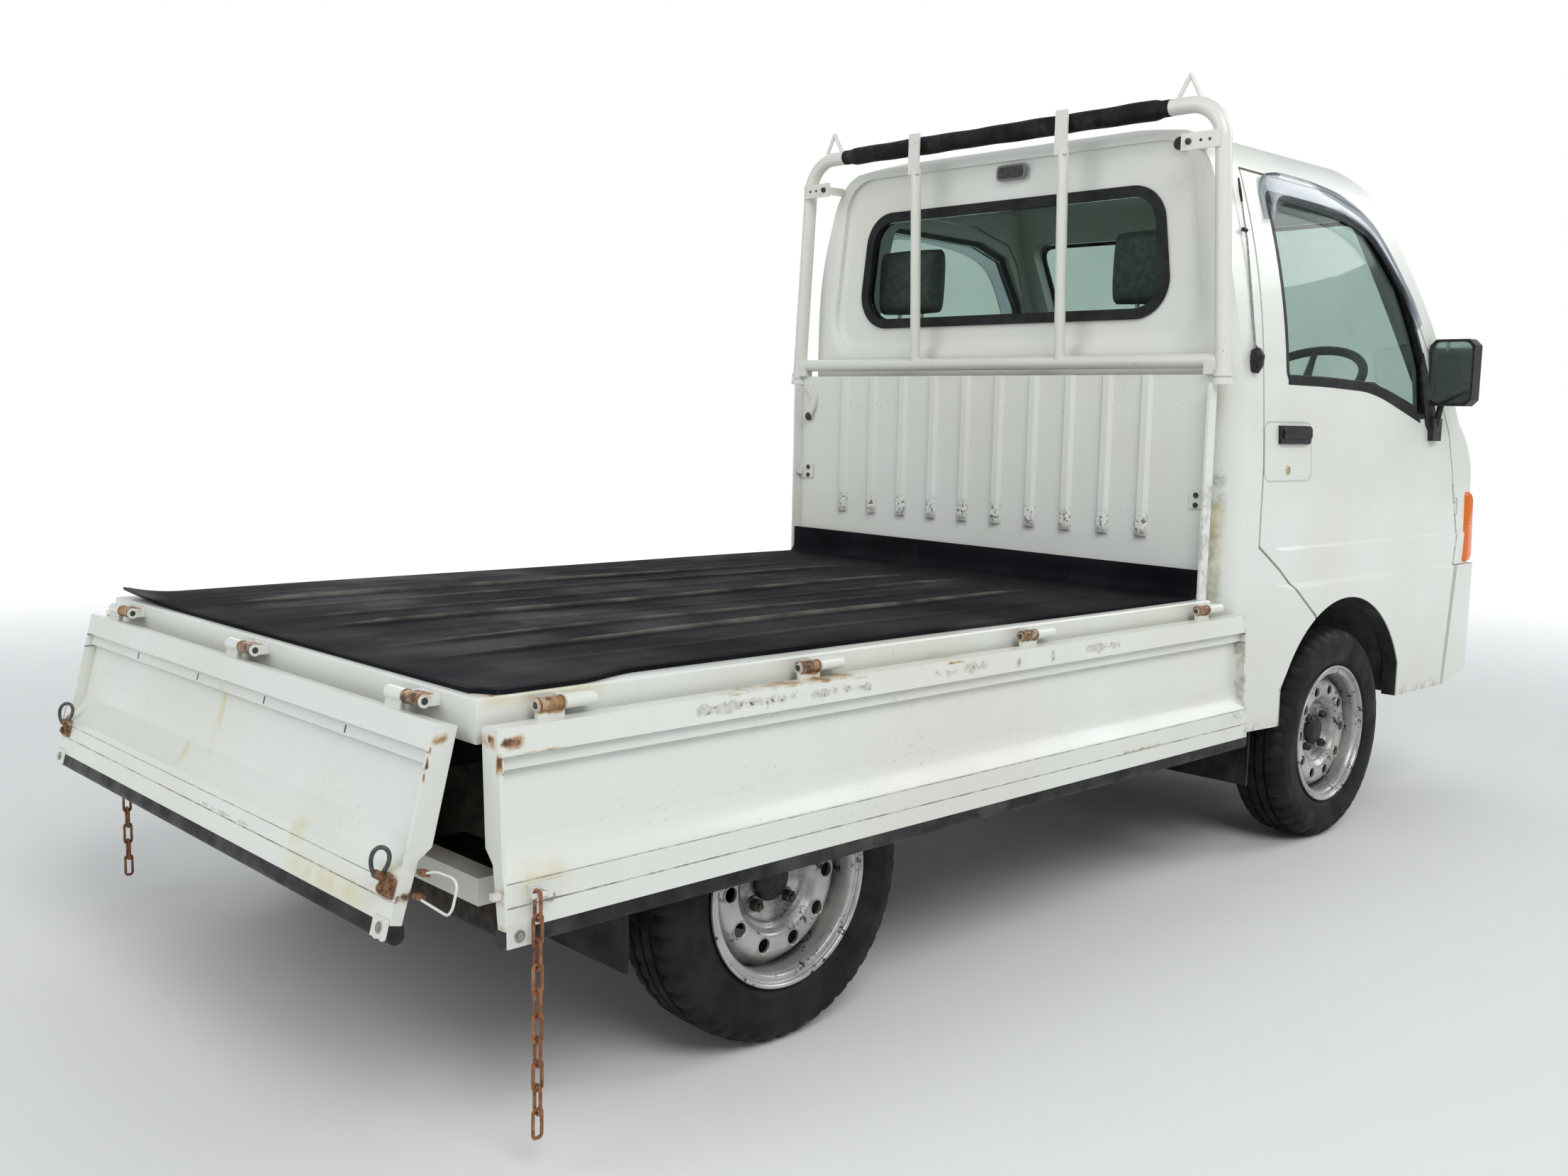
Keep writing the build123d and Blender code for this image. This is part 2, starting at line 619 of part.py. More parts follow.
def tail_lug(y):
    """A fixed hinge lug on the deck's rear edge, with its pin."""
    lug = rod((TAIL_HINGE_X, y, HINGE_Z), (TAIL_HINGE_X, y - 52, HINGE_Z), HINGE_EYE_R)
    lug = lug + bar(TAIL_HINGE_X, DECK_REAR_X + 1, y - 52, y, HINGE_Z - 8, HINGE_Z + 8)
    return lug + rod((TAIL_HINGE_X, y, HINGE_Z), (TAIL_HINGE_X, y + HINGE_EYE_L, HINGE_Z), HINGE_PIN_R)


def side_plane(x):
    """A plane across the right side gate: first axis down the gate, second out of its visible face."""
    lean = radians(SIDE_LEAN)
    return Plane(origin=(x, -SIDE_HINGE_Y, HINGE_Z), x_dir=(0, -sin(lean), -cos(lean)), z_dir=(-1, 0, 0))


def tail_plane(y):
    """A plane across the tailgate: first axis down the gate, second out of its visible face."""
    lean = radians(TAIL_LEAN)
    return Plane(origin=(TAIL_HINGE_X, y, HINGE_Z), x_dir=(-sin(lean), 0, -cos(lean)), z_dir=(0, 1, 0))


def block_on(plane, u0, u1, w0, w1, depth):
    """A block over a rectangle of a gate's plane."""
    face = Pos((u0 + u1) / 2, (w0 + w1) / 2) * Rectangle(u1 - u0, w1 - w0)
    return extrude(plane * face, depth)


def gate_rows(lip, face, swell):
    """The gate's section, as distances down the gate and out of it: rail, step, sunk panel, swell."""
    return [
        (GATE_START, GATE_BACK), (GATE_START, lip), (58, lip), (60, (lip + face) / 2), (78, (lip + face) / 2),
        (81, face), (178, face), (205, face + 0.35 * (swell - face)), (226, swell), (GATE_EDGE, swell),
        (GATE_EDGE, swell - 18), (205, 6), (185, GATE_BACK),
    ]


def gate_face(lip, face, swell):
    """The gate's section, with the foot of the sunk panel curved into the swell."""
    rows = gate_rows(lip, face, swell)
    line = Polyline(*rows[:7]) + ThreePointArc(rows[6], rows[7], rows[8]) + Polyline(*rows[8:], rows[0])
    return make_face(line)


def gate_end_face(lip, swell):
    """The flange that closes each end of a gate."""
    rows = gate_rows(lip, lip, swell)
    return make_face(Polyline(*rows[:2], (216, lip), *rows[8:], close=True))


def gate_body(plane, length, lip, face, swell):
    """A gate's panel between its two end flanges."""
    flange = gate_end_face(lip, swell)
    first = extrude(plane * flange, GATE_END_T)
    last = extrude(plane.offset(length - GATE_END_T) * flange, GATE_END_T)
    return extrude(plane * gate_face(lip, face, swell), length) + first + last


def strip_face(swell):
    """The rubber along the gate's free edge."""
    top = GATE_EDGE + SEAT
    line = Line((top, swell), (GATE_DROP - 12, swell))
    line += ThreePointArc((GATE_DROP - 12, swell), (GATE_DROP, swell - 13), (GATE_DROP - 12, swell - 26))
    line += Line((GATE_DROP - 12, swell - 26), (top, swell - 22)) + Line((top, swell - 22), (top, swell))
    return make_face(line)


def build_side_gate():
    """The right drop side with its hinge eyes and edge rubber."""
    plane = side_plane(SIDE_GATE_FRONT_X - GATE_FLANGE)
    length = SIDE_GATE_FRONT_X - GATE_FLANGE - SIDE_GATE_REAR_X
    gate = gate_body(plane, length, SIDE_LIP, SIDE_FACE, SIDE_SWELL)
    front = side_plane(SIDE_GATE_FRONT_X)
    gate = gate + block_on(front, GATE_START, GATE_EDGE, GATE_BACK, 8, GATE_FLANGE + 1)
    for x in SIDE_HINGES:
        start = x - HINGE_EYE_L + 1
        eye = ring_x(start, x - 1, -SIDE_HINGE_Y, HINGE_Z, HINGE_EYE_R, HINGE_PIN_R + RUN_FIT)
        tab = block_on(side_plane(x - 1), 8, 22, -4, 4, HINGE_EYE_L - 2)
        gate = gate + eye + tab
    strip = extrude(plane * strip_face(SIDE_SWELL), length)
    keep("side_gate_right", gate)
    keep("side_gate_left", mirrored(gate))
    keep("side_gate_rubber_right", strip)
    keep("side_gate_rubber_left", mirrored(strip))


def build_tailgate():
    """The tailgate with its hinge eyes and edge rubber."""
    plane = tail_plane(-TAIL_HALF)
    gate = gate_body(plane, 2 * TAIL_HALF, TAIL_LIP, TAIL_FACE, TAIL_SWELL)
    for y in TAIL_HINGES:
        eye = ring_y(y + 1, y + HINGE_EYE_L - 1, TAIL_HINGE_X, HINGE_Z, HINGE_EYE_R, HINGE_PIN_R + RUN_FIT)
        tab = block_on(tail_plane(y + 1), 8, 22, -4, 4, HINGE_EYE_L - 2)
        gate = gate + eye + tab
    keep("tailgate", gate)
    keep("tailgate_rubber", extrude(plane * strip_face(TAIL_SWELL), 2 * TAIL_HALF))


def build_guard():
    """The ribbed guard panel, its bar frame and the foam sleeve on the top bar."""
    panel = bar(DECK_FRONT_X + SEAT, GUARD_X, -GUARD_HALF, GUARD_HALF, 600, GUARD_TOP)
    for i in range(RIB_COUNT):
        y = (i - (RIB_COUNT - 1) / 2) * RIB_PITCH
        flank = Polyline(
            (GUARD_X - GUARD_T + 1, y - RIB_W / 2), (GUARD_X - GUARD_T - 8, y - RIB_W / 2 + 9),
            (GUARD_X - GUARD_T - 8, y + RIB_W / 2 - 9), (GUARD_X - GUARD_T + 1, y + RIB_W / 2), close=True)
        panel = panel + Pos(0, 0, 775) * extrude(make_face(flank), GUARD_TOP - 775)
    for y in (-GUARD_HALF, GUARD_HALF - 6):
        panel = panel + bar(GUARD_X - 30, GUARD_X, y, y + 6, DECK_Z + SEAT, GUARD_TOP)
    notch = bar(GUARD_X - 40, GUARD_X + 40, RACK_FOOT_Y - 20, 700, RACK_FOOT_Z - 2, GUARD_TOP + 60)
    keep("guard_panel", panel - both(notch))

    x = GUARD_X
    lean = (RACK_FOOT_Y - RACK_HEAD_Y) / (RACK_TOP_Z - RACK_FOOT_Z)
    hoop = bent_tube([(x, -RACK_FOOT_Y, RACK_FOOT_Z), (x, -RACK_HEAD_Y, RACK_TOP_Z),
                      (x, RACK_HEAD_Y, RACK_TOP_Z), (x, RACK_FOOT_Y, RACK_FOOT_Z)], RACK_BEND_R, RACK_TUBE_R)
    bar_y = RACK_FOOT_Y - lean * (RACK_BAR_Z - RACK_FOOT_Z)
    hoop = hoop + rod((x, -bar_y, RACK_BAR_Z), (x, bar_y, RACK_BAR_Z), 16)
    for side in (-1, 1):
        y = side * 228
        hoop = hoop + rod((x - 2, y, RACK_BAR_Z), (x - 22, y, RACK_TOP_Z - 60), 13)
        hoop = hoop + bar(x - 34, x - 28, y - 17, y + 17, RACK_TOP_Z - 75, RACK_TOP_Z + 26)
        hoop = hoop + bar(x - 30, x - 24, y - 14, y + 14, RACK_TOP_Z - 75, RACK_TOP_Z - 50)
        tip = (x, side * 545, RACK_TOP_Z + 66)
        hoop = hoop + rod((x, side * 512, RACK_TOP_Z + 10), tip, 5)
        hoop = hoop + rod((x, side * 575, RACK_TOP_Z + 8), tip, 5)
        clamp_y = side * (RACK_FOOT_Y - lean * (RACK_CLAMP_Z - RACK_FOOT_Z))
        near, far = sorted((clamp_y, side * 545))
        hoop = hoop + bar(x - 22, x - 17, near - 4, far + 4, RACK_CLAMP_Z - 18, RACK_CLAMP_Z + 18)
        stay_y = side * 558
        hoop = hoop + bar(x - 17, CAB_REAR_X - SEAT, stay_y - 9, stay_y + 9, RACK_CLAMP_Z - 9, RACK_CLAMP_Z + 9)
    for side in (-1, 1):
        y0, y1 = sorted((side * (GUARD_HALF - 28), side * (GUARD_HALF + 12)))
        hoop = hoop + bar(x - 16, x + 10, y0, y1, GUARD_TOP + SEAT, RACK_BAR_Z)
    keep("rack_frame", hoop)
    sleeve = ring_y(-500, 500, x, RACK_TOP_Z, SLEEVE_R, RACK_TUBE_R + SEAT)
    keep("rack_sleeve", sleeve)


def wheel_ring(rows):
    """A ring turned about the wheel's axle from rows of offset and radius."""
    face = make_face(Polyline(*rows, close=True))
    return revolve(face, Axis.X)


def build_wheels():
    """Pressed steel rims with vent holes and nuts, and plain tyres without tread."""
    rim = wheel_ring(RIM_BARREL) + wheel_ring(RIM_DISC)
    rim = rim + Pos(6.5, 0, 0) * Rot(0, 90, 0) * Cylinder(HUB_R, 49)
    for i in range(VENT_COUNT):
        hole = Pos(0, 0, VENT_CIRCLE_R) * Rot(0, 90, 0) * extrude(RegularPolygon(VENT_R, 6), 60)
        rim = rim - hole.rotate(Axis.X, i * 360 / VENT_COUNT)
    for i in range(NUT_COUNT):
        nut = Pos(8, 0, NUT_CIRCLE_R) * Rot(0, 90, 0) * extrude(RegularPolygon(NUT_R, 6), 22)
        rim = rim + nut.rotate(Axis.X, 45 + i * 360 / NUT_COUNT)
    rim = rim - Pos(-13, 0, 0) * Rot(0, 90, 0) * Cylinder(AXLE_R + RUN_FIT, 20)
    tyre = wheel_ring(TYRE_SECTION)
    for name, x in (("front", FRONT_AXLE_X), ("rear", REAR_AXLE_X)):
        for side, turn, y in (("left", 90, TRACK_HALF), ("right", -90, -TRACK_HALF)):
            place = Pos(x, y, AXLE_Z) * Rot(0, 0, turn)
            keep(f"rim_{name}_{side}", place * rim)
            keep(f"tyre_{name}_{side}", place * tyre)


def kingpin_point(along):
    """A point on the left kingpin axis, measured from its foot."""
    lean = radians(STEER_LEAN)
    return (FRONT_AXLE_X, KINGPIN_FOOT_Y - along * sin(lean), KINGPIN_FOOT_Z + along * cos(lean))


def build_front_axle():
    """Left knuckle with stub axle and strut tube, and the fixed arm, cross member and top mount."""
    strut_top = (STRUT_TOP_Z - KINGPIN_FOOT_Z) / cos(radians(STEER_LEAN))
    knuckle = rod(kingpin_point(0), kingpin_point(strut_top), STRUT_R)
    knuckle = knuckle + rod((FRONT_AXLE_X, 515, AXLE_Z), (FRONT_AXLE_X, HUB_FACE_Y - CLEAR, AXLE_Z), 26)
    knuckle = knuckle + rod((FRONT_AXLE_X, 560, AXLE_Z), (FRONT_AXLE_X, 603, AXLE_Z), AXLE_R)
    knuckle = knuckle + bar(FRONT_AXLE_X - 120, FRONT_AXLE_X, 500, 520, AXLE_Z - 12, AXLE_Z + 12)
    knuckle = knuckle + rod(kingpin_point(strut_top - 5), kingpin_point(strut_top + 22), 10)
    knuckle = knuckle - rod(kingpin_point(-5), kingpin_point(34), 9 + RUN_FIT)
    keep("knuckle_left", knuckle)
    keep("knuckle_right", mirrored(knuckle))

    arm = rod(kingpin_point(-26), kingpin_point(-4), 22) + rod(kingpin_point(-8), kingpin_point(30), 9)
    arm = arm + bar(FRONT_AXLE_X - 18, FRONT_AXLE_X + 18, 260, 550, 158, 182)
    mount = rod(kingpin_point(strut_top + 6), (kingpin_point(strut_top + 30)), 34)
    top = kingpin_point(strut_top + 18)
    mount = mount + bar(top[0] - 40, top[0] + 40, top[1] - 40, top[1] + 40, top[2], 617.7 - SEAT)
    mount = mount - rod(kingpin_point(strut_top - 20), kingpin_point(strut_top + 34), 10 + RUN_FIT)
    beam = bar(FRONT_AXLE_X - 45, FRONT_AXLE_X + 45, -300, 300, 160, 230)
    beam = beam + both(bar(FRONT_AXLE_X - 40, FRONT_AXLE_X + 40, 296, 348, 160, 436.6 - SEAT))
    beam = beam + arm + mirrored(arm)
    keep("front_suspension", beam, both(mount))


def build_rear_axle():
    """Trailing arms with hub drums, springs, and the half shafts that turn with the wheels."""
    x = REAR_AXLE_X
    drum = rod((x, 500, AXLE_Z), (x, HUB_FACE_Y - CLEAR, AXLE_Z), 96)
    arm = Pos(0, 0, 236) * extrude(make_face(Polyline(
        (x + 400, 330), (x + 400, 420), (x + 60, 512), (x - 60, 512), (x - 60, 440), (x + 150, 400),
        (x + 330, 330), close=True)), 60)
    hanger = bar(x + 350, x + 400, 330, 350, 236, 470 - SEAT)
    spring = rod((x + 40, 470, 290), (x + 40, 410, 500), 34)
    pad = bar(x, x + 90, 350 + SEAT, 450, 500, 540)
    left = drum + arm + hanger + spring + pad
    left = left - rod((x, 430, AXLE_Z), (x, 600, AXLE_Z), AXLE_R + RUN_FIT)
    shaft = rod((x, 195, AXLE_Z), (x, 603, AXLE_Z), AXLE_R)
    left = left - rod((x, 400, AXLE_Z), (x, 512, AXLE_Z), AXLE_R + 6)
    keep("rear_suspension", both(left))
    keep("half_shaft_left", shaft)
    keep("half_shaft_right", mirrored(shaft))


def build_underside():
    """Engine, transaxle, fuel tank, exhaust and mud flaps."""
    x = REAR_AXLE_X
    engine = bar(-1470, -1120, -230, 230, 250, 520)
    engine = fillet(engine.edges().filter_by(Axis.Y), 30)
    keep("engine_block", engine)
    case = bar(-1120 + SEAT, x + 160, -170, 190, 190, 400)
    case = fillet(case.edges().filter_by(Axis.Y), 40)
    case = case - rod((x, -200, AXLE_Z), (x, 200, AXLE_Z), AXLE_R + 6)
    keep("transaxle", case)
    tank = bar(-480, 60, 360, 600, 330, 530)
    tank = fillet(tank.edges().filter_by(Axis.X), 30)
    tank = tank + bar(-300, -260, 350 + SEAT, 640, 500, 540)
    keep("fuel_tank", tank)
    can = bar(-1500, -1330, -600, -280, 268, 338)
    can = fillet(can.edges().filter_by(Axis.Y), 30)
    pipe = rod((-1400, -285, 320), (-1400, -230 - SEAT, 320), 18) + bar(-1410, -1390, -290, -268, 300, 336)
    keep("exhaust", can + pipe)
    flaps = [bar(551, 558, 378, 640, 180, 330 - SEAT), bar(-1303, -1297, 440, 650, 190, 560)]
    keep("mud_flaps", *[both(flap) for flap in flaps])
    keep("tail_lamps", both(bar(-1596, -1540 - SEAT, 305, 475, 425, 505)))


def cut_corners(half_l, half_w, cut):
    """A rectangle with its corners cut off."""
    return chamfer(Rectangle(2 * half_l, 2 * half_w).vertices(), cut)


def build_fittings():
    """Chain hooks, catch lugs, ring hooks, wire bails and end plates of the gates."""
    hook_u = CHAIN_ALONG + LINK_L / 2 - (LINK_L - LINK_W) / 2
    pin = extrude(side_plane(CHAIN_X + 18) * (Pos(hook_u, CHAIN_OFF) * Circle(CHAIN_PIN_R)), 26)
    arm = block_on(side_plane(CHAIN_X + 22), hook_u - 5, hook_u + 5, SIDE_SWELL + SEAT, CHAIN_OFF + 4, 8)
    pad = block_on(side_plane(CHAIN_X + 52), hook_u - 12, hook_u + 12, SIDE_SWELL + SEAT, SIDE_SWELL + 4, 56)
    lug = block_on(side_plane(SIDE_GATE_REAR_X - SEAT), 240, 249, 16, 25, 12.5)
    plate = block_on(side_plane(SIDE_GATE_REAR_X + 42), 286, 316, SIDE_SWELL + SEAT, SIDE_SWELL + 2, 41)
    keep("side_gate_fittings_right", pin + arm + pad, lug, plate)
    keep("side_gate_fittings_left", mirrored(pin + arm + pad), mirrored(lug), mirrored(plate))

    end = TAIL_HALF + SEAT
    pad = block_on(tail_plane(606), 212, 246, TAIL_SWELL + SEAT, TAIL_SWELL + 5, 42)
    base = block_on(tail_plane(600), 208, 238, TAIL_SWELL + SEAT, TAIL_SWELL + 24, 20)
    root = tail_plane(610)
    face = Plane(origin=root.from_local_coords((190, 44, 0)), x_dir=root.x_dir, z_dir=root.y_dir)
    hook = pad + base + extrude(face * (cut_corners(28, 18, 9) - cut_corners(21, 11, 5)), 3.5, both=True)
    tabs = [block_on(tail_plane(end), u - 4, u + 4, -2, 12, 18) for u in (228, 260)]
    flat = Plane(origin=tail_plane(0).from_local_coords((0, -0.5, 0)), x_dir=root.x_dir, z_dir=root.y_dir)
    wire = make_face(Polyline(*BAIL_OUTER, close=True)) - make_face(Polyline(*BAIL_INNER, close=True))
    bail = extrude(flat * wire, 5)
    plate = block_on(tail_plane(TAIL_HALF - 42), 286, 316, TAIL_SWELL + SEAT, TAIL_SWELL + 2, 41)
    keep("tailgate_latches", both(hook), both(tabs[0] + tabs[1] + bail), both(plate))


def chain_links(first, count):
    """A run of links that hang in each other, every second one turned a quarter."""
    hook_u = CHAIN_ALONG + LINK_L / 2 - (LINK_L - LINK_W) / 2
    hook = side_plane(CHAIN_X).from_local_coords((hook_u, CHAIN_OFF, 0))
    middle = hook.Z - (LINK_L - LINK_W) / 2
    hole = cut_corners(LINK_L / 2 - LINK_T, LINK_W / 2 - LINK_T, 2.4)
    outer = cut_corners(LINK_L / 2, LINK_W / 2, 5) - hole
    flat = extrude(outer, LINK_T / 2, both=True)
    links = []
    for i in range(first, first + count):
        place = Pos(CHAIN_X, hook.Y, middle - i * LINK_PITCH)
        links.append(place * Rot(0, 0, 90 * (i % 2)) * Rot(0, 90, 0) * flat)
    return links


def build_chains():
    """The two tailgate chains, each in an upper and a lower run."""
    for name, first, count in (("upper", 0, UPPER_LINKS), ("lower", UPPER_LINKS, LOWER_LINKS)):
        links = chain_links(first, count)
        keep(f"chain_{name}_right", *links)
        keep(f"chain_{name}_left", *[mirrored(link) for link in links])


def main():
    """Build every sub-part and write one file for each."""
    build_cab()
    build_bumper()
    build_cab_inside()
    build_steering_wheel()
    build_bed()
    build_side_gate()
    build_tailgate()
    build_guard()
    build_wheels()
    build_front_axle()
    build_rear_axle()
    build_underside()
    build_fittings()
    build_chains()
    os.makedirs("parts", exist_ok=True)
    for name, shape in PARTS.items():
        export_step(shape, f"parts/{name}.step")


if __name__ == "__main__":
    main()
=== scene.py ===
import json
from math import copysign, cos, exp, hypot, pi, radians, sin, sqrt

import bmesh
import bpy
from mathutils import Matrix, Vector


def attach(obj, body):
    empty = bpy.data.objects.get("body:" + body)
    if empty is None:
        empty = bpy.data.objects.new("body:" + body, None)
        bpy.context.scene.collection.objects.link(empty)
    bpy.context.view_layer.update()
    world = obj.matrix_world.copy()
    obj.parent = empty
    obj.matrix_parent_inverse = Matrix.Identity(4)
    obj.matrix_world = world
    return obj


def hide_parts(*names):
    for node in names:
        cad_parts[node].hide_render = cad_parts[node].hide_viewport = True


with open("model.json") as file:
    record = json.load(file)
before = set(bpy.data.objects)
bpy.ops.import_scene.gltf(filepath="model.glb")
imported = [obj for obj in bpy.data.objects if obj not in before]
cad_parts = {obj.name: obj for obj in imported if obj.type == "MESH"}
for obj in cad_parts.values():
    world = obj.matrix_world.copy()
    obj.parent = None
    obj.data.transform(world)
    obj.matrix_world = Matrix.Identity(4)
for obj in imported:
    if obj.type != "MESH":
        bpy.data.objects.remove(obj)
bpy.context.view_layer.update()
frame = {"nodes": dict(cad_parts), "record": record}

# Lengths are metres. +X is the nose, +Y the left side, and Z = 0 the ground.
SIDES = ((-1, "right"), (1, "left"))
BACKWARD = (-1, 0, 0)
WHEELS = (("front_left", 0.905, 1), ("front_right", 0.905, -1), ("rear_left", -0.98, 1), ("rear_right", -0.98, -1))
WHEEL_Y, WHEEL_Z = 0.607, 0.266
ARCH_X, ARCH_Z, ARCH_R, ARCH_HALF = 0.905, 0.268, 0.345, 0.312
PIN_Z, EYE_R = 0.631, 0.0106  # height of the gates' hinge pins, and the bands round their eyes
GATE_PIN_Y, GATE_PINS, GATE_LEAN = 0.688, (-1.445, -0.945, -0.366, 0.25), radians(3)
TAIL_PIN_X, TAIL_PINS, TAIL_LEAN = -1.594, (-0.52, 0.02, 0.56), radians(14)
WALL_X, PLATE_X, GUARD_X, HOOP_X = 0.3555, 0.285, 0.3025, 0.307  # cab's rear wall, rack's plates, guard, hoop
FALL = (1.0, 0.0)


def link(name, data):
    obj = bpy.data.objects.new(name, data)
    bpy.context.scene.collection.objects.link(obj)
    return obj


def aim_camera():
    """The photo's viewpoint."""
    azimuth, elevation, roll = radians(46.29), radians(-6.71), radians(1.23)
    look = Vector((cos(elevation) * cos(azimuth), cos(elevation) * sin(azimuth), sin(elevation)))
    right = look.cross(Vector((0, 0, 1))).normalized()
    up = right.cross(look)
    right, up = cos(roll) * right + sin(roll) * up, cos(roll) * up - sin(roll) * right
    cam = bpy.data.cameras.new("camera")
    cam.lens = 33.83
    cam.sensor_width = 36.0
    cam.clip_start, cam.clip_end = 0.05, 100
    obj = link("camera", cam)
    obj.matrix_world = Matrix.Translation((-2.6164, -2.3517, 1.033)) @ Matrix((right, up, -look)).transposed().to_4x4()
    bpy.context.scene.camera = obj


aim_camera()
bpy.context.scene.view_settings.view_transform = "Standard"


# Materials
class Nodes:
    """A short way to write a node tree. Places are in the row frame, and a mask runs from 0 to 1."""

    def __init__(self, name):
        self.mat = bpy.data.materials.new(name)
        self.mat.use_nodes = True
        self.tree = self.mat.node_tree
        self.tree.nodes.clear()
        self.shader = self.node("BsdfPrincipled")
        self.tree.links.new(self.shader.outputs[0], self.node("OutputMaterial").inputs[0])
        self.coord = self.node("TexCoord").outputs["Object"]
        self.x, self.y, self.z = self.node("SeparateXYZ", {0: self.coord}).outputs

    def put(self, socket, value):
        if isinstance(value, bpy.types.NodeSocket):
            self.tree.links.new(value, socket)
        elif isinstance(value, tuple) and len(value) == 3 and len(socket.default_value) == 4:
            socket.default_value = (*value, 1)
        else:
            socket.default_value = value

    def node(self, kind, inputs=()):
        n = self.tree.nodes.new("ShaderNode" + kind)
        for key, value in dict(inputs).items():
            self.put(n.inputs[key], value)
        return n

    def set(self, **inputs):
        """Set the shader's inputs, named with _ for a space."""
        for key, value in inputs.items():
            self.put(self.shader.inputs[key.replace("_", " ")], value)

    def math(self, op, *values):
        n = self.node("Math", enumerate(values))
        n.operation = op
        return n.outputs[0]

    def times(self, product, *others):
        for other in others:
            product = self.math("MULTIPLY", product, other)
        return product

    def plus(self, a, b):
        return self.math("ADD", a, b)

    def minus(self, a, b):
        return self.math("SUBTRACT", a, b)

    def gap(self, a, b=0.0):
        """How far apart two values are."""
        return self.math("ABSOLUTE", self.minus(a, b))

    def reach(self, a, b):
        """The length of a step of a and b at right angles."""
        return self.math("SQRT", self.plus(self.times(a, a), self.times(b, b)))

    def highest(self, masks):
        result = masks[0]
        for mask in masks[1:]:
            result = self.math("MAXIMUM", result, mask)
        return result

    def noise(self, scale, detail=3.0, rough=0.55, stretch=None, move=(0, 0, 0)):
        where = self.coord
        if stretch:
            where = self.node("Mapping", {0: where, "Location": move, "Scale": stretch}).outputs[0]
        return self.node("TexNoise", {"Vector": where, "Scale": scale, "Detail": detail, "Roughness": rough}).outputs[0]

    def band(self, value, low, high, out=(0.0, 1.0)):
        """A smooth step between two values."""
        n = self.node("MapRange", enumerate((value, low, high, *out)))
        n.interpolation_type = "SMOOTHSTEP"
        return n.outputs[0]

    def uneven(self, scale, low, high, detail=4):
        """A value that wanders between two ends."""
        return self.band(self.noise(scale, detail), 0.3, 0.7, (low, high))

    def mix(self, factor, a, b):
        n = self.node("Mix")
        n.data_type = "RGBA"
        for index, value in ((0, factor), (6, a), (7, b)):
            self.put(n.inputs[index], value)
        return n.outputs[2]

    def over(self, base, colour, *masks):
        """The base with a colour laid over it where all masks are high."""
        return self.mix(self.times(*masks), base, colour)

    def mottle(self, a, b, scale, detail=5, rough=0.6, stretch=None):
        """Two tones in soft patches."""
        return self.mix(self.band(self.noise(scale, detail, rough, stretch), 0.35, 0.65), a, b)

    def near(self, x=None, y=None, z=None, soft=0.02):
        """A mask that is 1 inside a box and fades over the soft width, one for all or one an axis."""
        soft = soft if isinstance(soft, tuple) else (soft,) * 3
        sides = []
        for axis, span, fade in zip((self.x, self.y, self.z), (x, y, z), soft):
            if span:
                sides += [self.band(axis, span[0] - fade, span[0] + fade),
                          self.band(axis, span[1] - fade, span[1] + fade, FALL)]
        return self.times(*sides)

    def boxes(self, rows):
        return self.highest([self.near(**row) for row in rows])

    def ragged(self, rows, scale, low, high):
        """A mask with ragged edges round the boxes."""
        edge = self.times(self.minus(self.noise(scale, 7, 0.66), 0.5), 2.1)
        return self.band(self.plus(self.boxes(rows), edge), low, high)

    def outline(self, u, v, half, radius):
        """How far a point lies outside a rounded rectangle, from the distances u and v to its two middle lines."""
        qu, qv = self.plus(u, radius - half[0]), self.plus(v, radius - half[1])
        outside = self.reach(self.math("MAXIMUM", qu, 0.0), self.math("MAXIMUM", qv, 0.0))
        inside = self.math("MINIMUM", self.math("MAXIMUM", qu, qv), 0.0)
        return self.minus(self.plus(outside, inside), radius)

    def bump(self, height, strength=0.2, distance=0.002, under=None):
        n = self.node("Bump", {"Strength": strength, "Distance": distance, "Height": height})
        if under:
            self.put(n.inputs["Normal"], under)
        self.set(Normal=n.outputs[0])
        return n.outputs[0]


def rib_dirt(m, col):
    """Dirt that has gathered at the foot of each pressed rib."""
    first_rib, pitch = -0.528, 0.1056
    across = m.math("FRACT", m.times(m.minus(m.y, first_rib), 1 / pitch))
    foot = m.times(m.band(across, 0.28, 0.4), m.band(across, 0.6, 0.72, FALL), m.near(y=(-0.53, 0.53), soft=0.002))
    smudge = m.times(foot, m.near(z=(0.768, 0.788), soft=0.012))
    col = m.over(col, (0.19, 0.18, 0.155), smudge, m.band(m.noise(14, 3), 0.3, 0.6, (0.25, 0.75)))
    bits = m.times(foot, m.near(z=(0.78, 0.822), soft=0.016), m.band(m.noise(130, 4, 0.6), 0.535, 0.575))
    return m.over(col, (0.035, 0.03, 0.028), bits, 0.9)


def arch_lip_shade(m):
    """A mask of the lip turned in round the front wheel arch, a circle with upright sides, that is painted near black
    as shade.
    """
    along = m.gap(m.x, ARCH_X)
    rim = m.band(m.gap(m.reach(along, m.minus(m.z, ARCH_Z)), ARCH_R), 0.004, 0.006, FALL)
    rim = m.times(rim, m.band(m.z, 0.408, 0.414))
    side = m.times(m.band(m.gap(along, ARCH_HALF), 0.003, 0.005, FALL), m.band(m.z, 0.417, 0.423, FALL))
    return m.times(m.highest([rim, side]), m.band(m.gap(m.y), 0.69, 0.6925, FALL))


def handle_line_shade(m):
    """A mask of the pressed outline round the door handle, where a grey line of painted shade is laid."""
    away = m.outline(m.gap(m.x, 0.59), m.gap(m.z, 0.9725), (0.11, 0.0675), 0.022)
    return m.times(m.band(m.gap(away), 0.0008, 0.0035, FALL), m.band(m.gap(m.y), 0.6, 0.62))


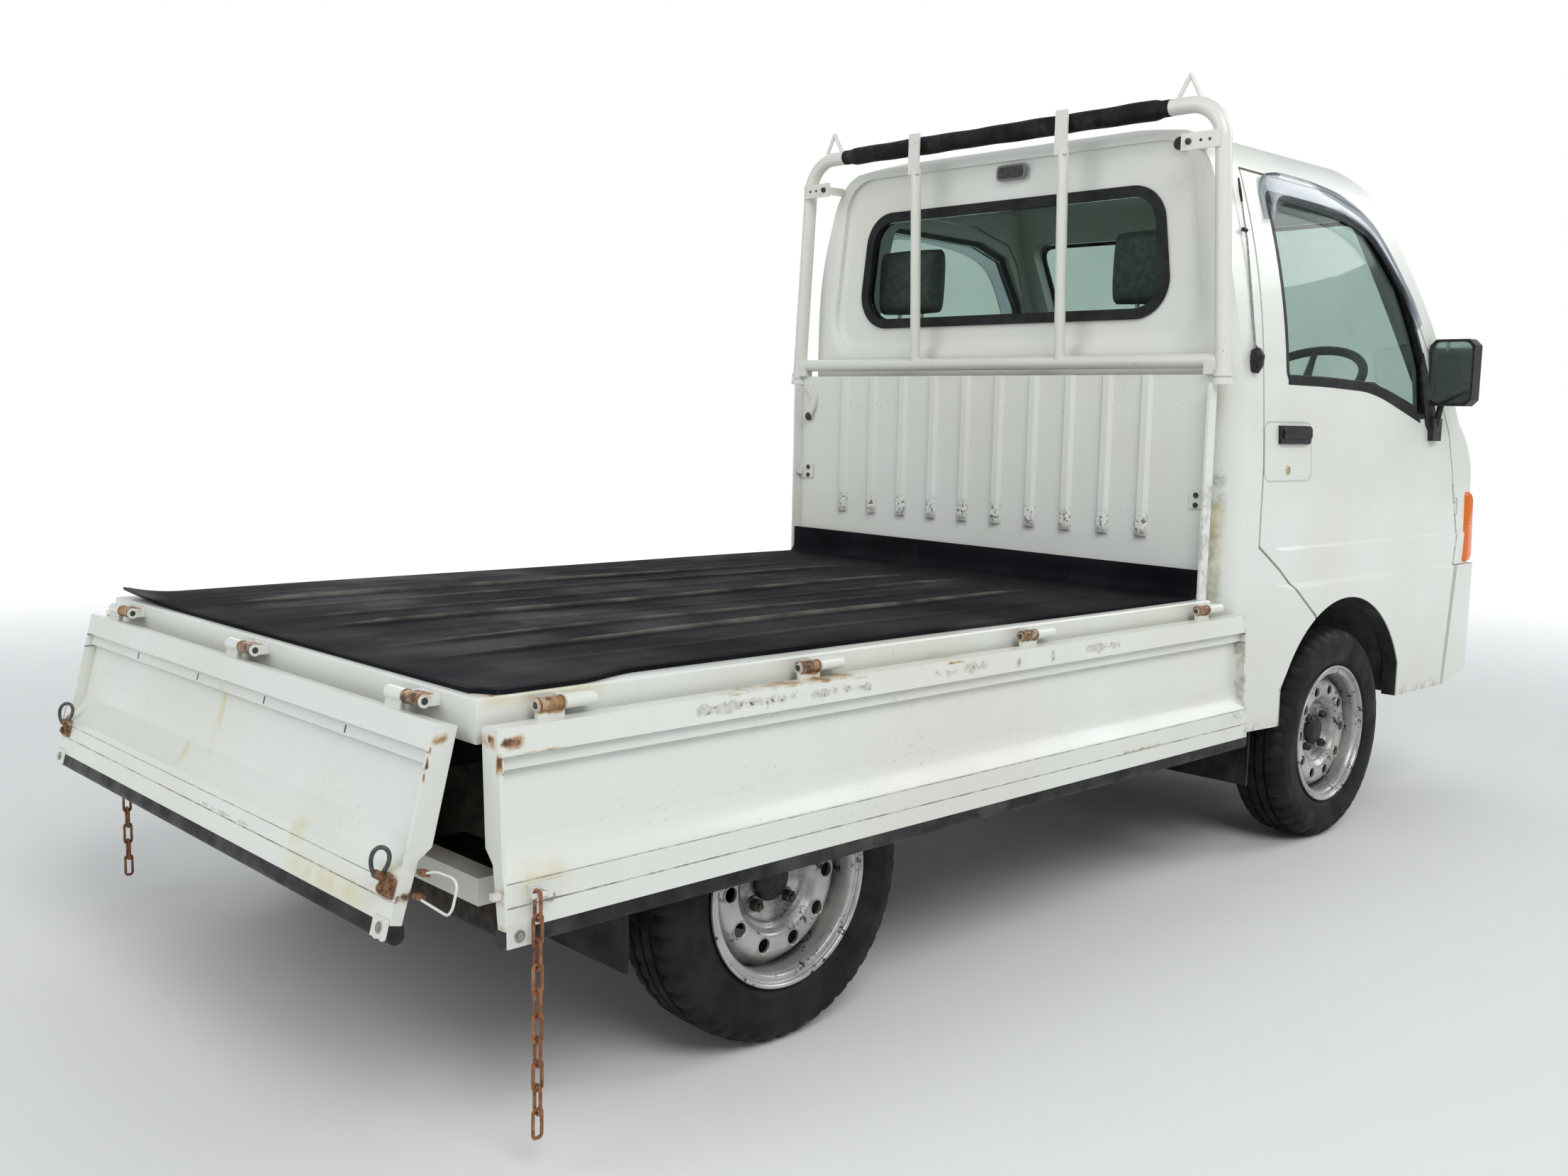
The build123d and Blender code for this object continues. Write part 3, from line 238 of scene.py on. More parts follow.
def field_shoulder(m):
    """A bump for the soft shoulders round the pressed field of the rear wall."""
    middle_z, lean = 1.44, 0.1206
    across = m.plus(m.gap(m.y), m.times(m.minus(m.z, middle_z), lean))
    away = m.outline(across, m.gap(m.z, middle_z), (0.5575, 0.228), 0.095)
    hollow = m.times(m.band(away, -0.03, 0.026, FALL), m.band(m.x, 0.4, 0.41, FALL))
    return m.bump(m.minus(1.0, hollow), 1.0, 0.012)


WHITE = (0.735, 0.75, 0.7)


def paint(name, colour=WHITE, wear=0.35, grime_and_shade=(), ribs=False, streaks=(), chips=(), rust=(), lines=None, arch=False,
          handle=False, field=False):
    """Aged enamel: faint mottling and runs, and inside boxes dirt, painted shade, chips, rust and ochre runs; a
    near-black painted shade on the arch lip, and a grey line of painted shade round the handle's outline.
    """
    m = Nodes(name)
    dull = tuple(c * k for c, k in zip(colour, (0.94, 0.94, 0.9)))
    col = m.mix(m.band(m.noise(2.2), 0.35, 0.7), colour, dull)
    col = m.over(col, (0.58, 0.56, 0.47), m.band(m.noise(1.0, 4, 0.6, (24, 24, 1.1)), 0.55, 0.8), wear * 0.35)
    col = m.over(col, (0.18, 0.16, 0.13), m.band(m.noise(170, 2), 0.67, 0.72), m.band(m.noise(6), 0.52, 0.66), wear)
    rough = m.uneven(5, 0.3, 0.45)
    # dark blotches in the given boxes: dirt, and painted shade where a box lies in a gap between parts
    if grime_and_shade:
        spot = m.times(m.boxes(grime_and_shade), m.band(m.noise(30, 6, 0.72), 0.4, 0.66))
        col = m.over(col, (0.23, 0.21, 0.165), spot, 0.62)
        rough = m.plus(rough, m.times(spot, 0.25))
    if ribs:
        col = rib_dirt(m, col)
    # ochre runs in the given boxes, and a yellowish painted shade where a box lies in a gap between parts
    if streaks:
        wander = m.band(m.noise(1.0, 5, 0.6, (30, 30, 5)), 0.32, 0.6, (0.25, 1.0))
        col = m.over(col, (0.6, 0.5, 0.17), m.boxes(streaks), wander, 0.5)
    if chips:
        worn = m.ragged(chips, 26, 0.7, 0.95)
        col = m.over(col, (0.42, 0.4, 0.34), worn, m.band(m.noise(120, 5, 0.7), 0.4, 0.62, (0.35, 0.8)))
        col = m.over(col, (0.05, 0.042, 0.035), worn, m.band(m.noise(85, 5, 0.68), 0.585, 0.625), 0.95)
        rough = m.plus(rough, m.times(worn, 0.25))
    if rust:
        halo = m.ragged(rust, 20, 0.4, 0.95)
        ochre = m.mottle((0.56, 0.42, 0.22), (0.5, 0.34, 0.15), 60, 5, 0.55)
        brown = m.mottle((0.26, 0.105, 0.028), (0.36, 0.18, 0.06), 90, 5, 0.7)
        dark = m.mottle((0.05, 0.022, 0.013), (0.14, 0.055, 0.022), 120, 5, 0.7)
        col = m.over(col, ochre, halo, 0.72)
        col = m.over(col, brown, m.ragged(rust, 20, 0.62, 1.08), 0.88)
        col = m.over(col, dark, m.ragged(rust, 28, 0.92, 1.22))
        rough = m.plus(rough, m.times(halo, 0.4))
    if lines:
        # thin seams along a panel, dark where dirt has stayed in them
        axis, low, high, seams = lines
        here = m.times(m.band(axis(m), low, low + 0.001), m.band(axis(m), high - 0.001, high, FALL))
        broken = m.band(m.noise(1.0, 4, 0.7, (26, 26, 6)), 0.34, 0.6, (0.3, 0.92))
        for height, width in seams:
            col = m.over(col, (0.1, 0.088, 0.06), m.band(m.gap(m.z, height), width * 0.4, width, FALL), broken, here)
    if arch:
        # painted shade: the lip turned in round the front wheel arch is painted near black, as the shadow inside the
        # arch
        lip = arch_lip_shade(m)
        col = m.over(col, m.mottle((0.01, 0.01, 0.011), (0.03, 0.029, 0.026), 20, 4, 0.55), lip)
        rough = m.plus(rough, m.times(lip, 0.4))
    if handle:
        # painted shade: a grey line along the pressed outline round the door handle
        col = m.over(col, (0.33, 0.335, 0.31), handle_line_shade(m), 0.55)
    m.set(Base_Color=col, Roughness=m.math("MINIMUM", rough, 0.95), Coat_Weight=0.3, Coat_Roughness=0.1)
    m.bump(m.noise(34, 4), 0.05, 0.0012, field_shoulder(m) if field else None)
    return m.mat


def plain(name, first, second, scale, rough, metal=0.0, bump=0.2, third=None, gloss=0.5, stretch=None):
    """A surface of two or three close tones with an uneven sheen and a fine bump."""
    m = Nodes(name)
    col = m.mottle(first, second, scale, stretch=stretch)
    if third:
        col = m.over(col, third, m.band(m.noise(scale * 0.35, 6, 0.7), 0.52, 0.68))
    m.set(Base_Color=col, Roughness=m.uneven(scale * 1.7, *rough), Metallic=metal, Specular_IOR_Level=gloss)
    m.bump(m.noise(scale * 6, 4), bump, 0.001)
    return m.mat


def mat_rubber():
    """Old black rubber: dusty patches, paler ridge tops that are rubbed wear and a painted highlight, and faint scuffs
    along the bed.
    """
    m = Nodes("mat_rubber")
    col = m.mottle((0.0045, 0.005, 0.0065), (0.011, 0.012, 0.0145), 3.0)
    col = m.over(col, (0.095, 0.085, 0.085), m.band(m.noise(1.7, 4, 0.55, (1, 2.2, 1), (3.1, 0.7, 0)), 0.53, 0.72),
                 m.band(m.noise(26, 5, 0.7), 0.3, 0.62), 0.36)
    # the ridge tops are painted paler, a painted highlight along with rubbed wear
    col = m.over(col, (0.125, 0.118, 0.098), m.band(m.z, 0.655, 0.6605), m.band(m.z, 0.664, 0.666, FALL),
                 m.band(m.noise(9, 4), 0.35, 0.65, (0.25, 0.95)), m.band(m.x, 0.1, 0.2, FALL))
    col = m.over(col, (0.12, 0.12, 0.115), m.band(m.noise(1.0, 3, 0.5, (3, 90, 3)), 0.66, 0.72), 0.1)
    m.set(Base_Color=col, Roughness=m.uneven(4, 0.55, 0.78), Specular_IOR_Level=0.05)
    weave = m.times(m.math("SINE", m.times(m.x, 2200)), m.math("SINE", m.times(m.y, 2200)), 0.15)
    m.bump(m.plus(weave, m.noise(220, 4)), 0.3, 0.0008)
    return m.mat


def tyre_rubber():
    """Near-black rubber with dull, browner patches."""
    m = Nodes("tyre_tread")
    col = m.mottle((0.007, 0.007, 0.007), (0.018, 0.0175, 0.017), 14)
    col = m.over(col, (0.05, 0.046, 0.04), m.band(m.noise(5, 6, 0.7), 0.48, 0.72), 0.22)
    m.set(Base_Color=col, Roughness=m.uneven(18, 0.52, 0.8), Specular_IOR_Level=0.2)
    m.bump(m.noise(120, 5, 0.65), 0.25, 0.0012)
    return m.mat


def rim_steel():
    """Silver-painted steel, seen from the wheel's own middle, darker in patches deeper in the wheel, with black chips.
    """
    m = Nodes("rim_steel")
    col = m.mottle((0.52, 0.52, 0.49), (0.38, 0.38, 0.36), 12, 4, 0.55)
    # darker in patches where the steel lies deeper in the wheel
    col = m.over(col, (0.1, 0.092, 0.082), m.band(m.x, 0.02, 0.032, FALL), m.band(m.noise(16, 5, 0.7), 0.34, 0.6), 0.72)
    col = m.over(col, (0.03, 0.026, 0.023), m.band(m.noise(95, 5, 0.7), 0.575, 0.615),
                 m.band(m.noise(20, 3), 0.5, 0.6), 0.9)
    col = m.over(col, (0.018, 0.018, 0.021), m.band(m.noise(36, 6, 0.75), 0.575, 0.605),
                 m.band(m.noise(9, 2), 0.5, 0.57), 0.95)
    m.set(Base_Color=col, Roughness=m.uneven(22, 0.24, 0.46), Metallic=0.55)
    m.bump(m.noise(90, 4), 0.12, 0.0008)
    return m.mat


def glass(name, first, second, rough, ior):
    m = Nodes(name)
    m.set(Base_Color=m.mix(m.band(m.noise(3), 0.4, 0.6), first, second),
          Roughness=m.band(m.noise(30), 0.4, 0.8, rough), Transmission_Weight=1.0, IOR=ior)
    return m.mat


def head_lens():
    """A ribbed lamp glass over a bright bowl."""
    m = Nodes("head_lens")
    away = m.reach(m.minus(m.gap(m.y), 0.499), m.minus(m.z, 0.777))
    col = m.mix(m.band(away, 0.008, 0.022), (0.62, 0.64, 0.65), (0.36, 0.37, 0.385))
    col = m.over(col, (0.56, 0.58, 0.59), m.band(away, 0.026, 0.054))
    col = m.over(col, (0.43, 0.44, 0.455), m.band(away, 0.055, 0.058))
    ribs = m.math("SINE", m.times(m.y, 900))
    m.set(Base_Color=m.over(col, (0.16, 0.17, 0.18), m.band(ribs, -1, 1, (0.0, 0.25))),
          Roughness=m.uneven(30, 0.06, 0.14, 3), Metallic=0.45, Coat_Weight=1.0)
    m.bump(ribs, 0.25, 0.0012)
    return m.mat


M = {
    "body_paint": paint("body_paint"),
    "frame_paint": paint("frame_paint", (0.7, 0.71, 0.655), wear=0.75),
    "mat_rubber": mat_rubber(),
    "tyre_rubber": tyre_rubber(),
    "rim_steel": rim_steel(),
    "window_glass": glass("window_glass", (0.56, 0.66, 0.62), (0.52, 0.62, 0.58), (0.0, 0.04), 1.16),
    "smoke": glass("smoke", (0.56, 0.59, 0.63), (0.5, 0.53, 0.58), (0.04, 0.12), 1.3),
}
# name, two tones, scale of the patches, span of the roughness, metal, bump, third tone, gloss, stretch
for row in (
        ("lamp_clear", (0.75, 0.78, 0.8), (0.6, 0.62, 0.65), 20, (0.08, 0.15)),
        ("lamp_amber", (0.78, 0.165, 0.007), (0.7, 0.135, 0.006), 6, (0.08, 0.16), 0.0, 0.35, None, 0.5,
         (0.1, 0.1, 26)),
        ("lamp_red", (0.42, 0.02, 0.02), (0.26, 0.01, 0.01), 120, (0.08, 0.16)),
        ("weather_rubber", (0.01, 0.01, 0.01), (0.028, 0.028, 0.027), 12, (0.32, 0.6), 0.0, 0.2,
         (0.055, 0.054, 0.05), 0.2),
        ("gasket", (0.01, 0.01, 0.011), (0.022, 0.022, 0.022), 14, (0.35, 0.6), 0.0, 0.12, None, 0.15),
        ("floor_paint", (0.03, 0.03, 0.03), (0.06, 0.06, 0.058), 25, (0.6, 0.8)),
        ("seat_vinyl", (0.045, 0.045, 0.05), (0.085, 0.085, 0.09), 60, (0.5, 0.65), 0.0, 0.4),
        ("black_plastic", (0.012, 0.012, 0.012), (0.03, 0.03, 0.03), 80, (0.36, 0.55), 0.0, 0.3, None, 0.25),
        ("black_gloss", (0.01, 0.01, 0.01), (0.02, 0.02, 0.018), 40, (0.12, 0.25), 0.0, 0.05),
        ("chassis_paint", (0.011, 0.011, 0.012), (0.034, 0.031, 0.027), 18, (0.6, 0.85), 0.0, 0.2,
         (0.075, 0.042, 0.026), 0.2),
        ("foam_sleeve", (0.008, 0.008, 0.009), (0.018, 0.018, 0.019), 22, (0.5, 0.75), 0.0, 0.5,
         (0.035, 0.035, 0.034), 0.12),
        ("cast_iron", (0.05, 0.045, 0.04), (0.1, 0.08, 0.06), 30, (0.6, 0.85), 0.5, 0.6),
        ("gearbox_alloy", (0.22, 0.22, 0.21), (0.12, 0.11, 0.1), 30, (0.5, 0.7), 0.7, 0.4),
        ("exhaust_steel", (0.045, 0.034, 0.028), (0.028, 0.022, 0.018), 40, (0.6, 0.85), 0.5, 0.4),
        ("wheel_steel", (0.42, 0.44, 0.45), (0.3, 0.31, 0.32), 25, (0.32, 0.55), 0.35, 0.15),
        ("forged_steel", (0.05, 0.045, 0.04), (0.11, 0.07, 0.045), 40, (0.5, 0.8), 0.5, 0.4),
        ("chain_steel", (0.36, 0.145, 0.06), (0.19, 0.08, 0.038), 120, (0.6, 0.85), 0.3, 0.5, (0.44, 0.25, 0.13)),
        ("rusty_steel", (0.3, 0.15, 0.06), (0.12, 0.06, 0.035), 150, (0.6, 0.85), 0.3, 0.5, (0.45, 0.42, 0.36)),
        ("nut_steel", (0.035, 0.033, 0.031), (0.1, 0.092, 0.082), 160, (0.4, 0.7), 0.6, 0.3, (0.13, 0.075, 0.045)),
        ("hook_steel", (0.13, 0.14, 0.145), (0.065, 0.065, 0.066), 70, (0.3, 0.5), 0.8, 0.2, (0.17, 0.09, 0.045)),
        ("zinc_steel", (0.42, 0.42, 0.4), (0.3, 0.295, 0.28), 90, (0.35, 0.55), 0.7, 0.15, (0.3, 0.2, 0.12)),
        ("bright_steel", (0.55, 0.56, 0.57), (0.4, 0.41, 0.42), 60, (0.18, 0.35), 0.9, 0.05),
        ("brass", (0.62, 0.52, 0.28), (0.42, 0.34, 0.18), 200, (0.25, 0.45), 0.9, 0.1),
        ("vent_grey", (0.2, 0.2, 0.18), (0.13, 0.13, 0.12), 90, (0.4, 0.6), 0.2),
        # painted shade: a near-black for the vent's opening and for holes, bores and slots drawn as thin plates
        ("opening_shade", (0.02, 0.019, 0.017), (0.055, 0.05, 0.042), 90, (0.5, 0.7)),
        ("mirror", (0.82, 0.85, 0.86), (0.78, 0.81, 0.82), 8, (0.02, 0.06), 1.0, 0.0)):
    M[row[0]] = plain(*row)


def spots(axes, *rows):
    """Boxes for a mask: each row has a low and a high on each named axis, then the soft width."""
    return [dict(zip(axes, zip(row[:-1:2], row[1:-1:2])), soft=row[-1]) for row in rows]


# Nodes that carry their own seams, dirt, painted shade, chips and rust
EYE_RUST = spots("xz", *((low, high, 0.617, 0.65, 0.006) for low, high in (
    (-1.494, -1.446), (-0.994, -0.946), (-0.415, -0.367), (0.2, 0.249))))
SIDE_LINES = (lambda m: m.x, -1.566, 0.364, ((0.5722, 0.0017), (0.5522, 0.0024), (0.3711, 0.0015), (0.404, 0.001)))
TAIL_LINES = (lambda m: m.y, -0.6475, 0.6475, ((0.578, 0.0017), (0.5553, 0.0022), (0.3836, 0.0015), (0.4069, 0.001)))
OWN = {
    "side_gate_right": paint(
        "gate_right_paint", wear=0.5, lines=SIDE_LINES,
        chips=spots("xyz", *((low, high, -1, 0, 0.58, 0.606, soft) for low, high, soft in (
            (-1.24, -0.84, 0.016), (-0.7, -0.54, 0.016), (-0.47, -0.44, 0.012), (-0.36, -0.34, 0.012),
            (-0.25, -0.12, 0.014)))),
        rust=EYE_RUST
        + spots("xz", (-1.575, -1.525, 0.58, 0.606, (0.018, 0, 0.012)),
                (-1.56, -1.44, 0.5745, 0.5775, (0.03, 0, 0.003)),
                (-1.18, -0.86, 0.6085, 0.614, (0.04, 0, 0.005)), (-0.9, -0.85, 0.602, 0.612, (0.02, 0, 0.006)),
                (-0.66, -0.6, 0.604, 0.612, (0.02, 0, 0.005)), (-1.62, -1.569, 0.37, 0.4, (0.003, 0, 0.01)),
                (-1.62, -1.569, 0.335, 0.352, (0.003, 0, 0.008)), (-0.12, 0.06, 0.372, 0.376, 0.004))
        + spots("xyz", (-1.62, -1.5685, -0.714, -0.69, 0.588, 0.606, (0.0004, 0.008, 0.009)),
                (-1.62, -1.5645, -0.76, -0.7125, 0.553, 0.585, (0.001, 0.003, 0.014))),
        # darker at the gate's front end beside the cab, and along a low band near the front
        grime_and_shade=spots("xz", (0.352, 0.372, 0.3, 0.62, 0.008), (0.3, 0.35, 0.38, 0.4, 0.01)),
        streaks=spots("xz", (-1.545, -1.47, 0.385, 0.42, 0.02))),
    "side_gate_left": paint("gate_left_paint", wear=0.5, lines=SIDE_LINES,
                            rust=EYE_RUST + spots("xz", (-1.6, -1.566, 0.58, 0.608, 0.008))),
    "tailgate": paint(
        "tailgate_paint", wear=0.5, lines=TAIL_LINES,
        streaks=spots("yz", (0.024, 0.04, 0.5, 0.565, (0, 0.006, 0.012)), (0.036, 0.05, 0.45, 0.495, (0, 0.008, 0.014)),
                      (0.12, 0.135, 0.425, 0.455, (0, 0.006, 0.014)), (-0.37, -0.33, 0.398, 0.425, (0, 0.014, 0.014)),
                      (-0.58, -0.34, 0.352, 0.385, (0, 0.05, 0.02)), (-0.64, -0.6, 0.4, 0.425, (0, 0.012, 0.014))),
        chips=spots("yz", (-0.2, -0.02, 0.385, 0.392, 0.006), (-0.02, 0.1, 0.35, 0.356, 0.006)),
        rust=spots("yz", (0.625, 0.66, 0.4, 0.425, (0, 0.012, 0.012)), (-0.648, -0.612, 0.402, 0.415, (0, 0.01, 0.012)))
        + spots("yxz", (-0.7, -0.6475, -1.632, -1.6, 0.582, 0.602, (0.01, 0.0004, 0.012)),
                (-0.7, -0.647, -1.66, -1.627, 0.575, 0.588, (0.003, 0.0004, 0.006)),
                (-0.7, -0.6455, -1.66, -1.6325, 0.555, 0.575, (0.002, 0.001, 0.006)),
                (-0.7, -0.6455, -1.66, -1.6375, 0.538, 0.555, (0.002, 0.001, 0.008)),
                (-0.7, -0.6475, -1.69, -1.655, 0.375, 0.398, (0.006, 0.0004, 0.01)))),
    # darker along the guard's right edge, beside the gap to the cab
    "guard_panel": paint("guard_paint", wear=0.6, ribs=True, grime_and_shade=spots("yz", (-0.66, -0.64, 0.66, 0.9, 0.012))),
    "bed_deck": paint(
        "deck_paint", wear=0.5,
        rust=spots("xyz", (-1.548, -1.5, -0.66, -0.645, 0.63, 0.65, 0.008),
                   (-0.97, -0.92, -0.705, -0.665, 0.6, 0.625, 0.006))
        + spots("xy", *((-1.62, -1.575, y - 0.052, y - 0.006, 0.004) for y in TAIL_PINS)),
        # darker along the deck's lowest band, 0.575 to 0.59 m up
        streaks=spots("xyz", (-1.56, -1.36, -0.67, -0.64, 0.63, 0.65, 0.012)), grime_and_shade=spots("z", (0.575, 0.59, 0.012))),
    "rear_beam": paint("beam_paint", (0.7, 0.7, 0.63), wear=0.5),
    "cab_shell": paint(
        "cab_paint", wear=0.4, field=True, arch=True, handle=True,
        # at the rear right corner, in the gap behind the guard, the ochre runs and the dark blotches are painted shade;
        # the lowest band is darker towards the bottom
        streaks=spots("xyz", (0.3, 0.366, -0.72, -0.62, 0.6, 0.86, 0.01)),
        grime_and_shade=spots("xyz", (0.3, 0.366, -0.72, -0.62, 0.5, 0.92, 0.008)) + spots("z", (0.3, 0.345, 0.02)),
        rust=spots("xyz", (0.345, 0.376, -0.7, -0.66, 0.885, 0.912, 0.008))),
    # darker along the door's bottom edge
    "door_right": paint("door_paint", wear=0.3, arch=True, handle=True, grime_and_shade=spots("z", (0.3, 0.345, 0.02))),
    "rear_window_gasket": M["gasket"],
    "headlamps": head_lens(),
}
OWN["door_left"] = OWN["door_right"]

SLOT = {s["node"]: s["material_slot"] for s in frame["record"]["subparts"]}
for node, obj in frame["nodes"].items():
    obj.data.materials.clear()
    obj.data.materials.append(OWN.get(node) or M[SLOT[node]])


# Mesh building
def turns(count):
    return [2 * pi * k / count for k in range(count)]


def ring(radius, sides, turn=0.0):
    return [(radius * cos(turn + a), radius * sin(turn + a)) for a in turns(sides)]


def rounded(points, radius, steps=4, closed=True):
    """A polyline with its corners rounded."""
    result = []
    count = len(points)
    for i, here in enumerate(points):
        if not closed and i in (0, count - 1):
            result.append(tuple(here))
            continue
        p = Vector(here)
        a, b = Vector(points[i - 1]) - p, Vector(points[(i + 1) % count]) - p
        r = min(radius, a.length * 0.45, b.length * 0.45)
        start, end = p + a.normalized() * r, p + b.normalized() * r
        for k in range(steps + 1):
            t = k / steps
            result.append(tuple((1 - t) ** 2 * start + 2 * t * (1 - t) * p + t * t * end))
    return result


def panel(half_w, half_h, radius, steps=4):
    """A rounded rectangle about the local middle."""
    return rounded([(-half_w, -half_h), (half_w, -half_h), (half_w, half_h), (-half_w, half_h)], radius, steps)


def facing(origin, direction):
    """A local frame whose Z axis looks along a direction."""
    z = Vector(direction).normalized()
    x = Vector((0, 0, 1)).cross(z)
    x = x.normalized() if x.length > 1e-6 else Vector((1, 0, 0))
    return Matrix.Translation(origin) @ Matrix((x, z.cross(x), z)).transposed().to_4x4()


def shifted(place, x, y, z):
    return place @ Matrix.Translation((x, y, z))


def mend(mesh, weld=0.0):
    """Turn all faces outward, after joining points closer than the weld distance."""
    bm = bmesh.new()
    bm.from_mesh(mesh)
    if weld:
        bmesh.ops.remove_doubles(bm, verts=bm.verts, dist=weld)
    bmesh.ops.recalc_face_normals(bm, faces=bm.faces)
    bm.to_mesh(mesh)
    bm.free()


def shade(mesh, look, angle):
    for poly in mesh.polygons:
        poly.use_smooth = True
    mesh.set_sharp_from_angle(angle=radians(angle))
    mesh.materials.append(M[look])


def tie(obj, body, nodes=()):
    """Hide the nodes that a piece stands for, and parent the piece to the body it rides on."""
    if nodes:
        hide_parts(*nodes)
    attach(obj, body)
    return obj


class Build:
    """Collects vertices and faces of one piece. Each shape returns the collection."""

    def __init__(self):
        self.verts, self.faces = [], []

    def grid(self, rows, wrap_rows=False, wrap_cols=False):
        """Faces between rows of points. Returns the first point's number."""
        base, n = len(self.verts), len(rows[0])
        for row in rows:
            self.verts.extend(tuple(p) for p in row)
        for i in range(len(rows) - (0 if wrap_rows else 1)):
            for j in range(n - (0 if wrap_cols else 1)):
                a, b = i * n, ((i + 1) % len(rows)) * n
                self.faces.append(tuple(base + k for k in (a + j, a + (j + 1) % n, b + (j + 1) % n, b + j)))
        return base

    def loft(self, rows):
        """A skin through closed rows of points, with a face over each end."""
        base, n = self.grid(rows, wrap_cols=True), len(rows[0])
        last = base + (len(rows) - 1) * n
        self.faces += [tuple(base + k for k in reversed(range(n))), tuple(last + k for k in range(n))]
        return self

    def tube(self, path, radius, sides=12, closed=False):
        """A round tube along points, with closed ends where the path is open."""
        pts = [Vector(p) for p in path]
        rows, normal = [], None
        for i, p in enumerate(pts):
            before = pts[i - 1] if i or closed else p
            after = pts[(i + 1) % len(pts)] if i + 1 < len(pts) or closed else p
            along = (after - before).normalized()
            if normal is None:
                normal = along.orthogonal().normalized()
            normal = (normal - along * normal.dot(along)).normalized()
            side = along.cross(normal)
            r = radius[i] if isinstance(radius, list) else radius
            rows.append([p + r * (cos(a) * normal + sin(a) * side) for a in turns(sides)])
        if not closed:
            return self.loft(rows)
        self.grid(rows, wrap_rows=True, wrap_cols=True)
        return self

    def lathe(self, profile, place, segments, shape=None):
        """A closed profile of offset and radius turned about the local X axis."""
        rows = []
        for i, a in enumerate(turns(segments)):
            row = [shape(i, k, t, r) if shape else (t, r) for k, (t, r) in enumerate(profile)]
            rows.append([place @ Vector((t, r * cos(a), r * sin(a))) for t, r in row])
        self.grid(rows, wrap_rows=True, wrap_cols=True)
        return self

    def prism(self, outline, place, depth, taper=0.0):
        """A prism over a local outline, from the local plane up by the depth, with a small edge cut."""
        mid = sum((Vector(p) for p in outline), Vector((0, 0))) / len(outline)
        levels = [(0, 1.0), (depth - taper, 1.0)]
        if taper:
            levels.append((depth, 1 - taper / max((Vector(outline[0]) - mid).length, 1e-4)))
        return self.loft([[place @ Vector((*(mid + (Vector(p) - mid) * s), z)) for p in outline] for z, s in levels])

    def disc(self, radius, sides, place, depth, taper=0.0, turn=0.0):
        return self.prism(ring(radius, sides, turn), place, depth, taper)

    def block(self, low, high, cut=0.001):
        """A block with slightly cut edges, between two corners."""
        (x0, y0, z0), (x1, y1, z1) = low, high
        cut = min(cut, (x1 - x0) / 3, (y1 - y0) / 3, (z1 - z0) / 3)
        return self.loft([[(x0 + cut + c, y0 + c, z), (x1 - cut - c, y0 + c, z), (x1 - c, y0 + cut + c, z),
                           (x1 - c, y1 - cut - c, z), (x1 - cut - c, y1 - c, z), (x0 + cut + c, y1 - c, z),
                           (x0 + c, y1 - cut - c, z), (x0 + c, y0 + cut + c, z)]
                          for z, c in ((z0, cut), (z0 + cut, 0), (z1 - cut, 0), (z1, cut))])

    def bare(self, name):
        """Make the object without a look or a body."""
        mesh = bpy.data.meshes.new(name)
        mesh.from_pydata([tuple(v) for v in self.verts], [], self.faces)
        mend(mesh)
        return link(name, mesh)

    def piece(self, name, look, slot=None, body="chassis", nodes=(), angle=35.0):
        """Make the object, shade it, and tie it to its body. The slot is not used."""
        obj = self.bare(name)
        shade(obj.data, look, angle)
        return tie(obj, body, nodes)


# Wheels
def wheel_place(x, side):
    return Matrix.Translation((x, side * WHEEL_Y, WHEEL_Z)) @ Matrix.Rotation(radians(90 * side), 4, "Z")


def tyre_profile():
    """The tyre's outer skin from bead to bead and back along its inside. Offset, radius and what is cut there."""
    wall = [(0.0524, 0.1546), (0.0573, 0.1706), (0.064, 0.179), (0.0682, 0.185), (0.069, 0.1868), (0.0688, 0.1885),
            (0.0712, 0.196), (0.0724, 0.206), (0.0724, 0.218), (0.0728, 0.2205), (0.0727, 0.2235), (0.0718, 0.2262),
            (0.0706, 0.236), (0.0688, 0.244)]
    shoulder = [(0.0676, 0.2475), (0.064, 0.252), (0.059, 0.2575), (0.052, 0.2622), (0.045, 0.2645), (0.03, 0.2651)]
    rows = [(t, r, None) for t, r in wall] + [(t, r, "side") for t, r in shoulder] + [(0.0298, 0.2651, None)]
    for middle in (0.0255, 0.0):
        rows += [(middle + 0.0042, 0.2655, None), (middle + 0.003, 0.2585, None), (middle - 0.003, 0.2585, None),
                 (middle - 0.0042, 0.2655, None)]
        if middle:
            rows += [(0.021, 0.2657, "rib"), (0.014, 0.2659, "rib"), (0.007, 0.2659, "rib")]
    other = [(-t, r, k) for t, r, k in rows[:-4]]
    inner = [(-0.044, 0.1546), (-0.058, 0.206), (-0.044, 0.25), (0.044, 0.25), (0.058, 0.206), (0.044, 0.1546)]
    return rows + other[::-1] + [(t, r, None) for t, r in inner]


def make_tyres():
    rows = tyre_profile()

    def tread(i, k, t, r):
        """Cut the slots of every fourth segment, out of step between the two halves."""
        cut, left = rows[k][2], t < 0
        if cut == "side" and (i + (2 if left else 0)) % 4 == 0:
            return (t, r - 0.0058) if r > 0.256 else (t - copysign(0.003, t), r - 0.002)
        if cut == "rib" and (i + (1 if left else 3)) % 4 == 0 and abs(t) > 0.012:
            return t, r - 0.004
        return t, r

    for name, x, side in WHEELS:
        Build().lathe([(t, r) for t, r, _ in rows], wheel_place(x, side), 184, tread).piece(
            f"tyre_piece_{name}", "tyre_rubber", "tyre_rubber", f"wheel_{name}", [f"tyre_{name}"])


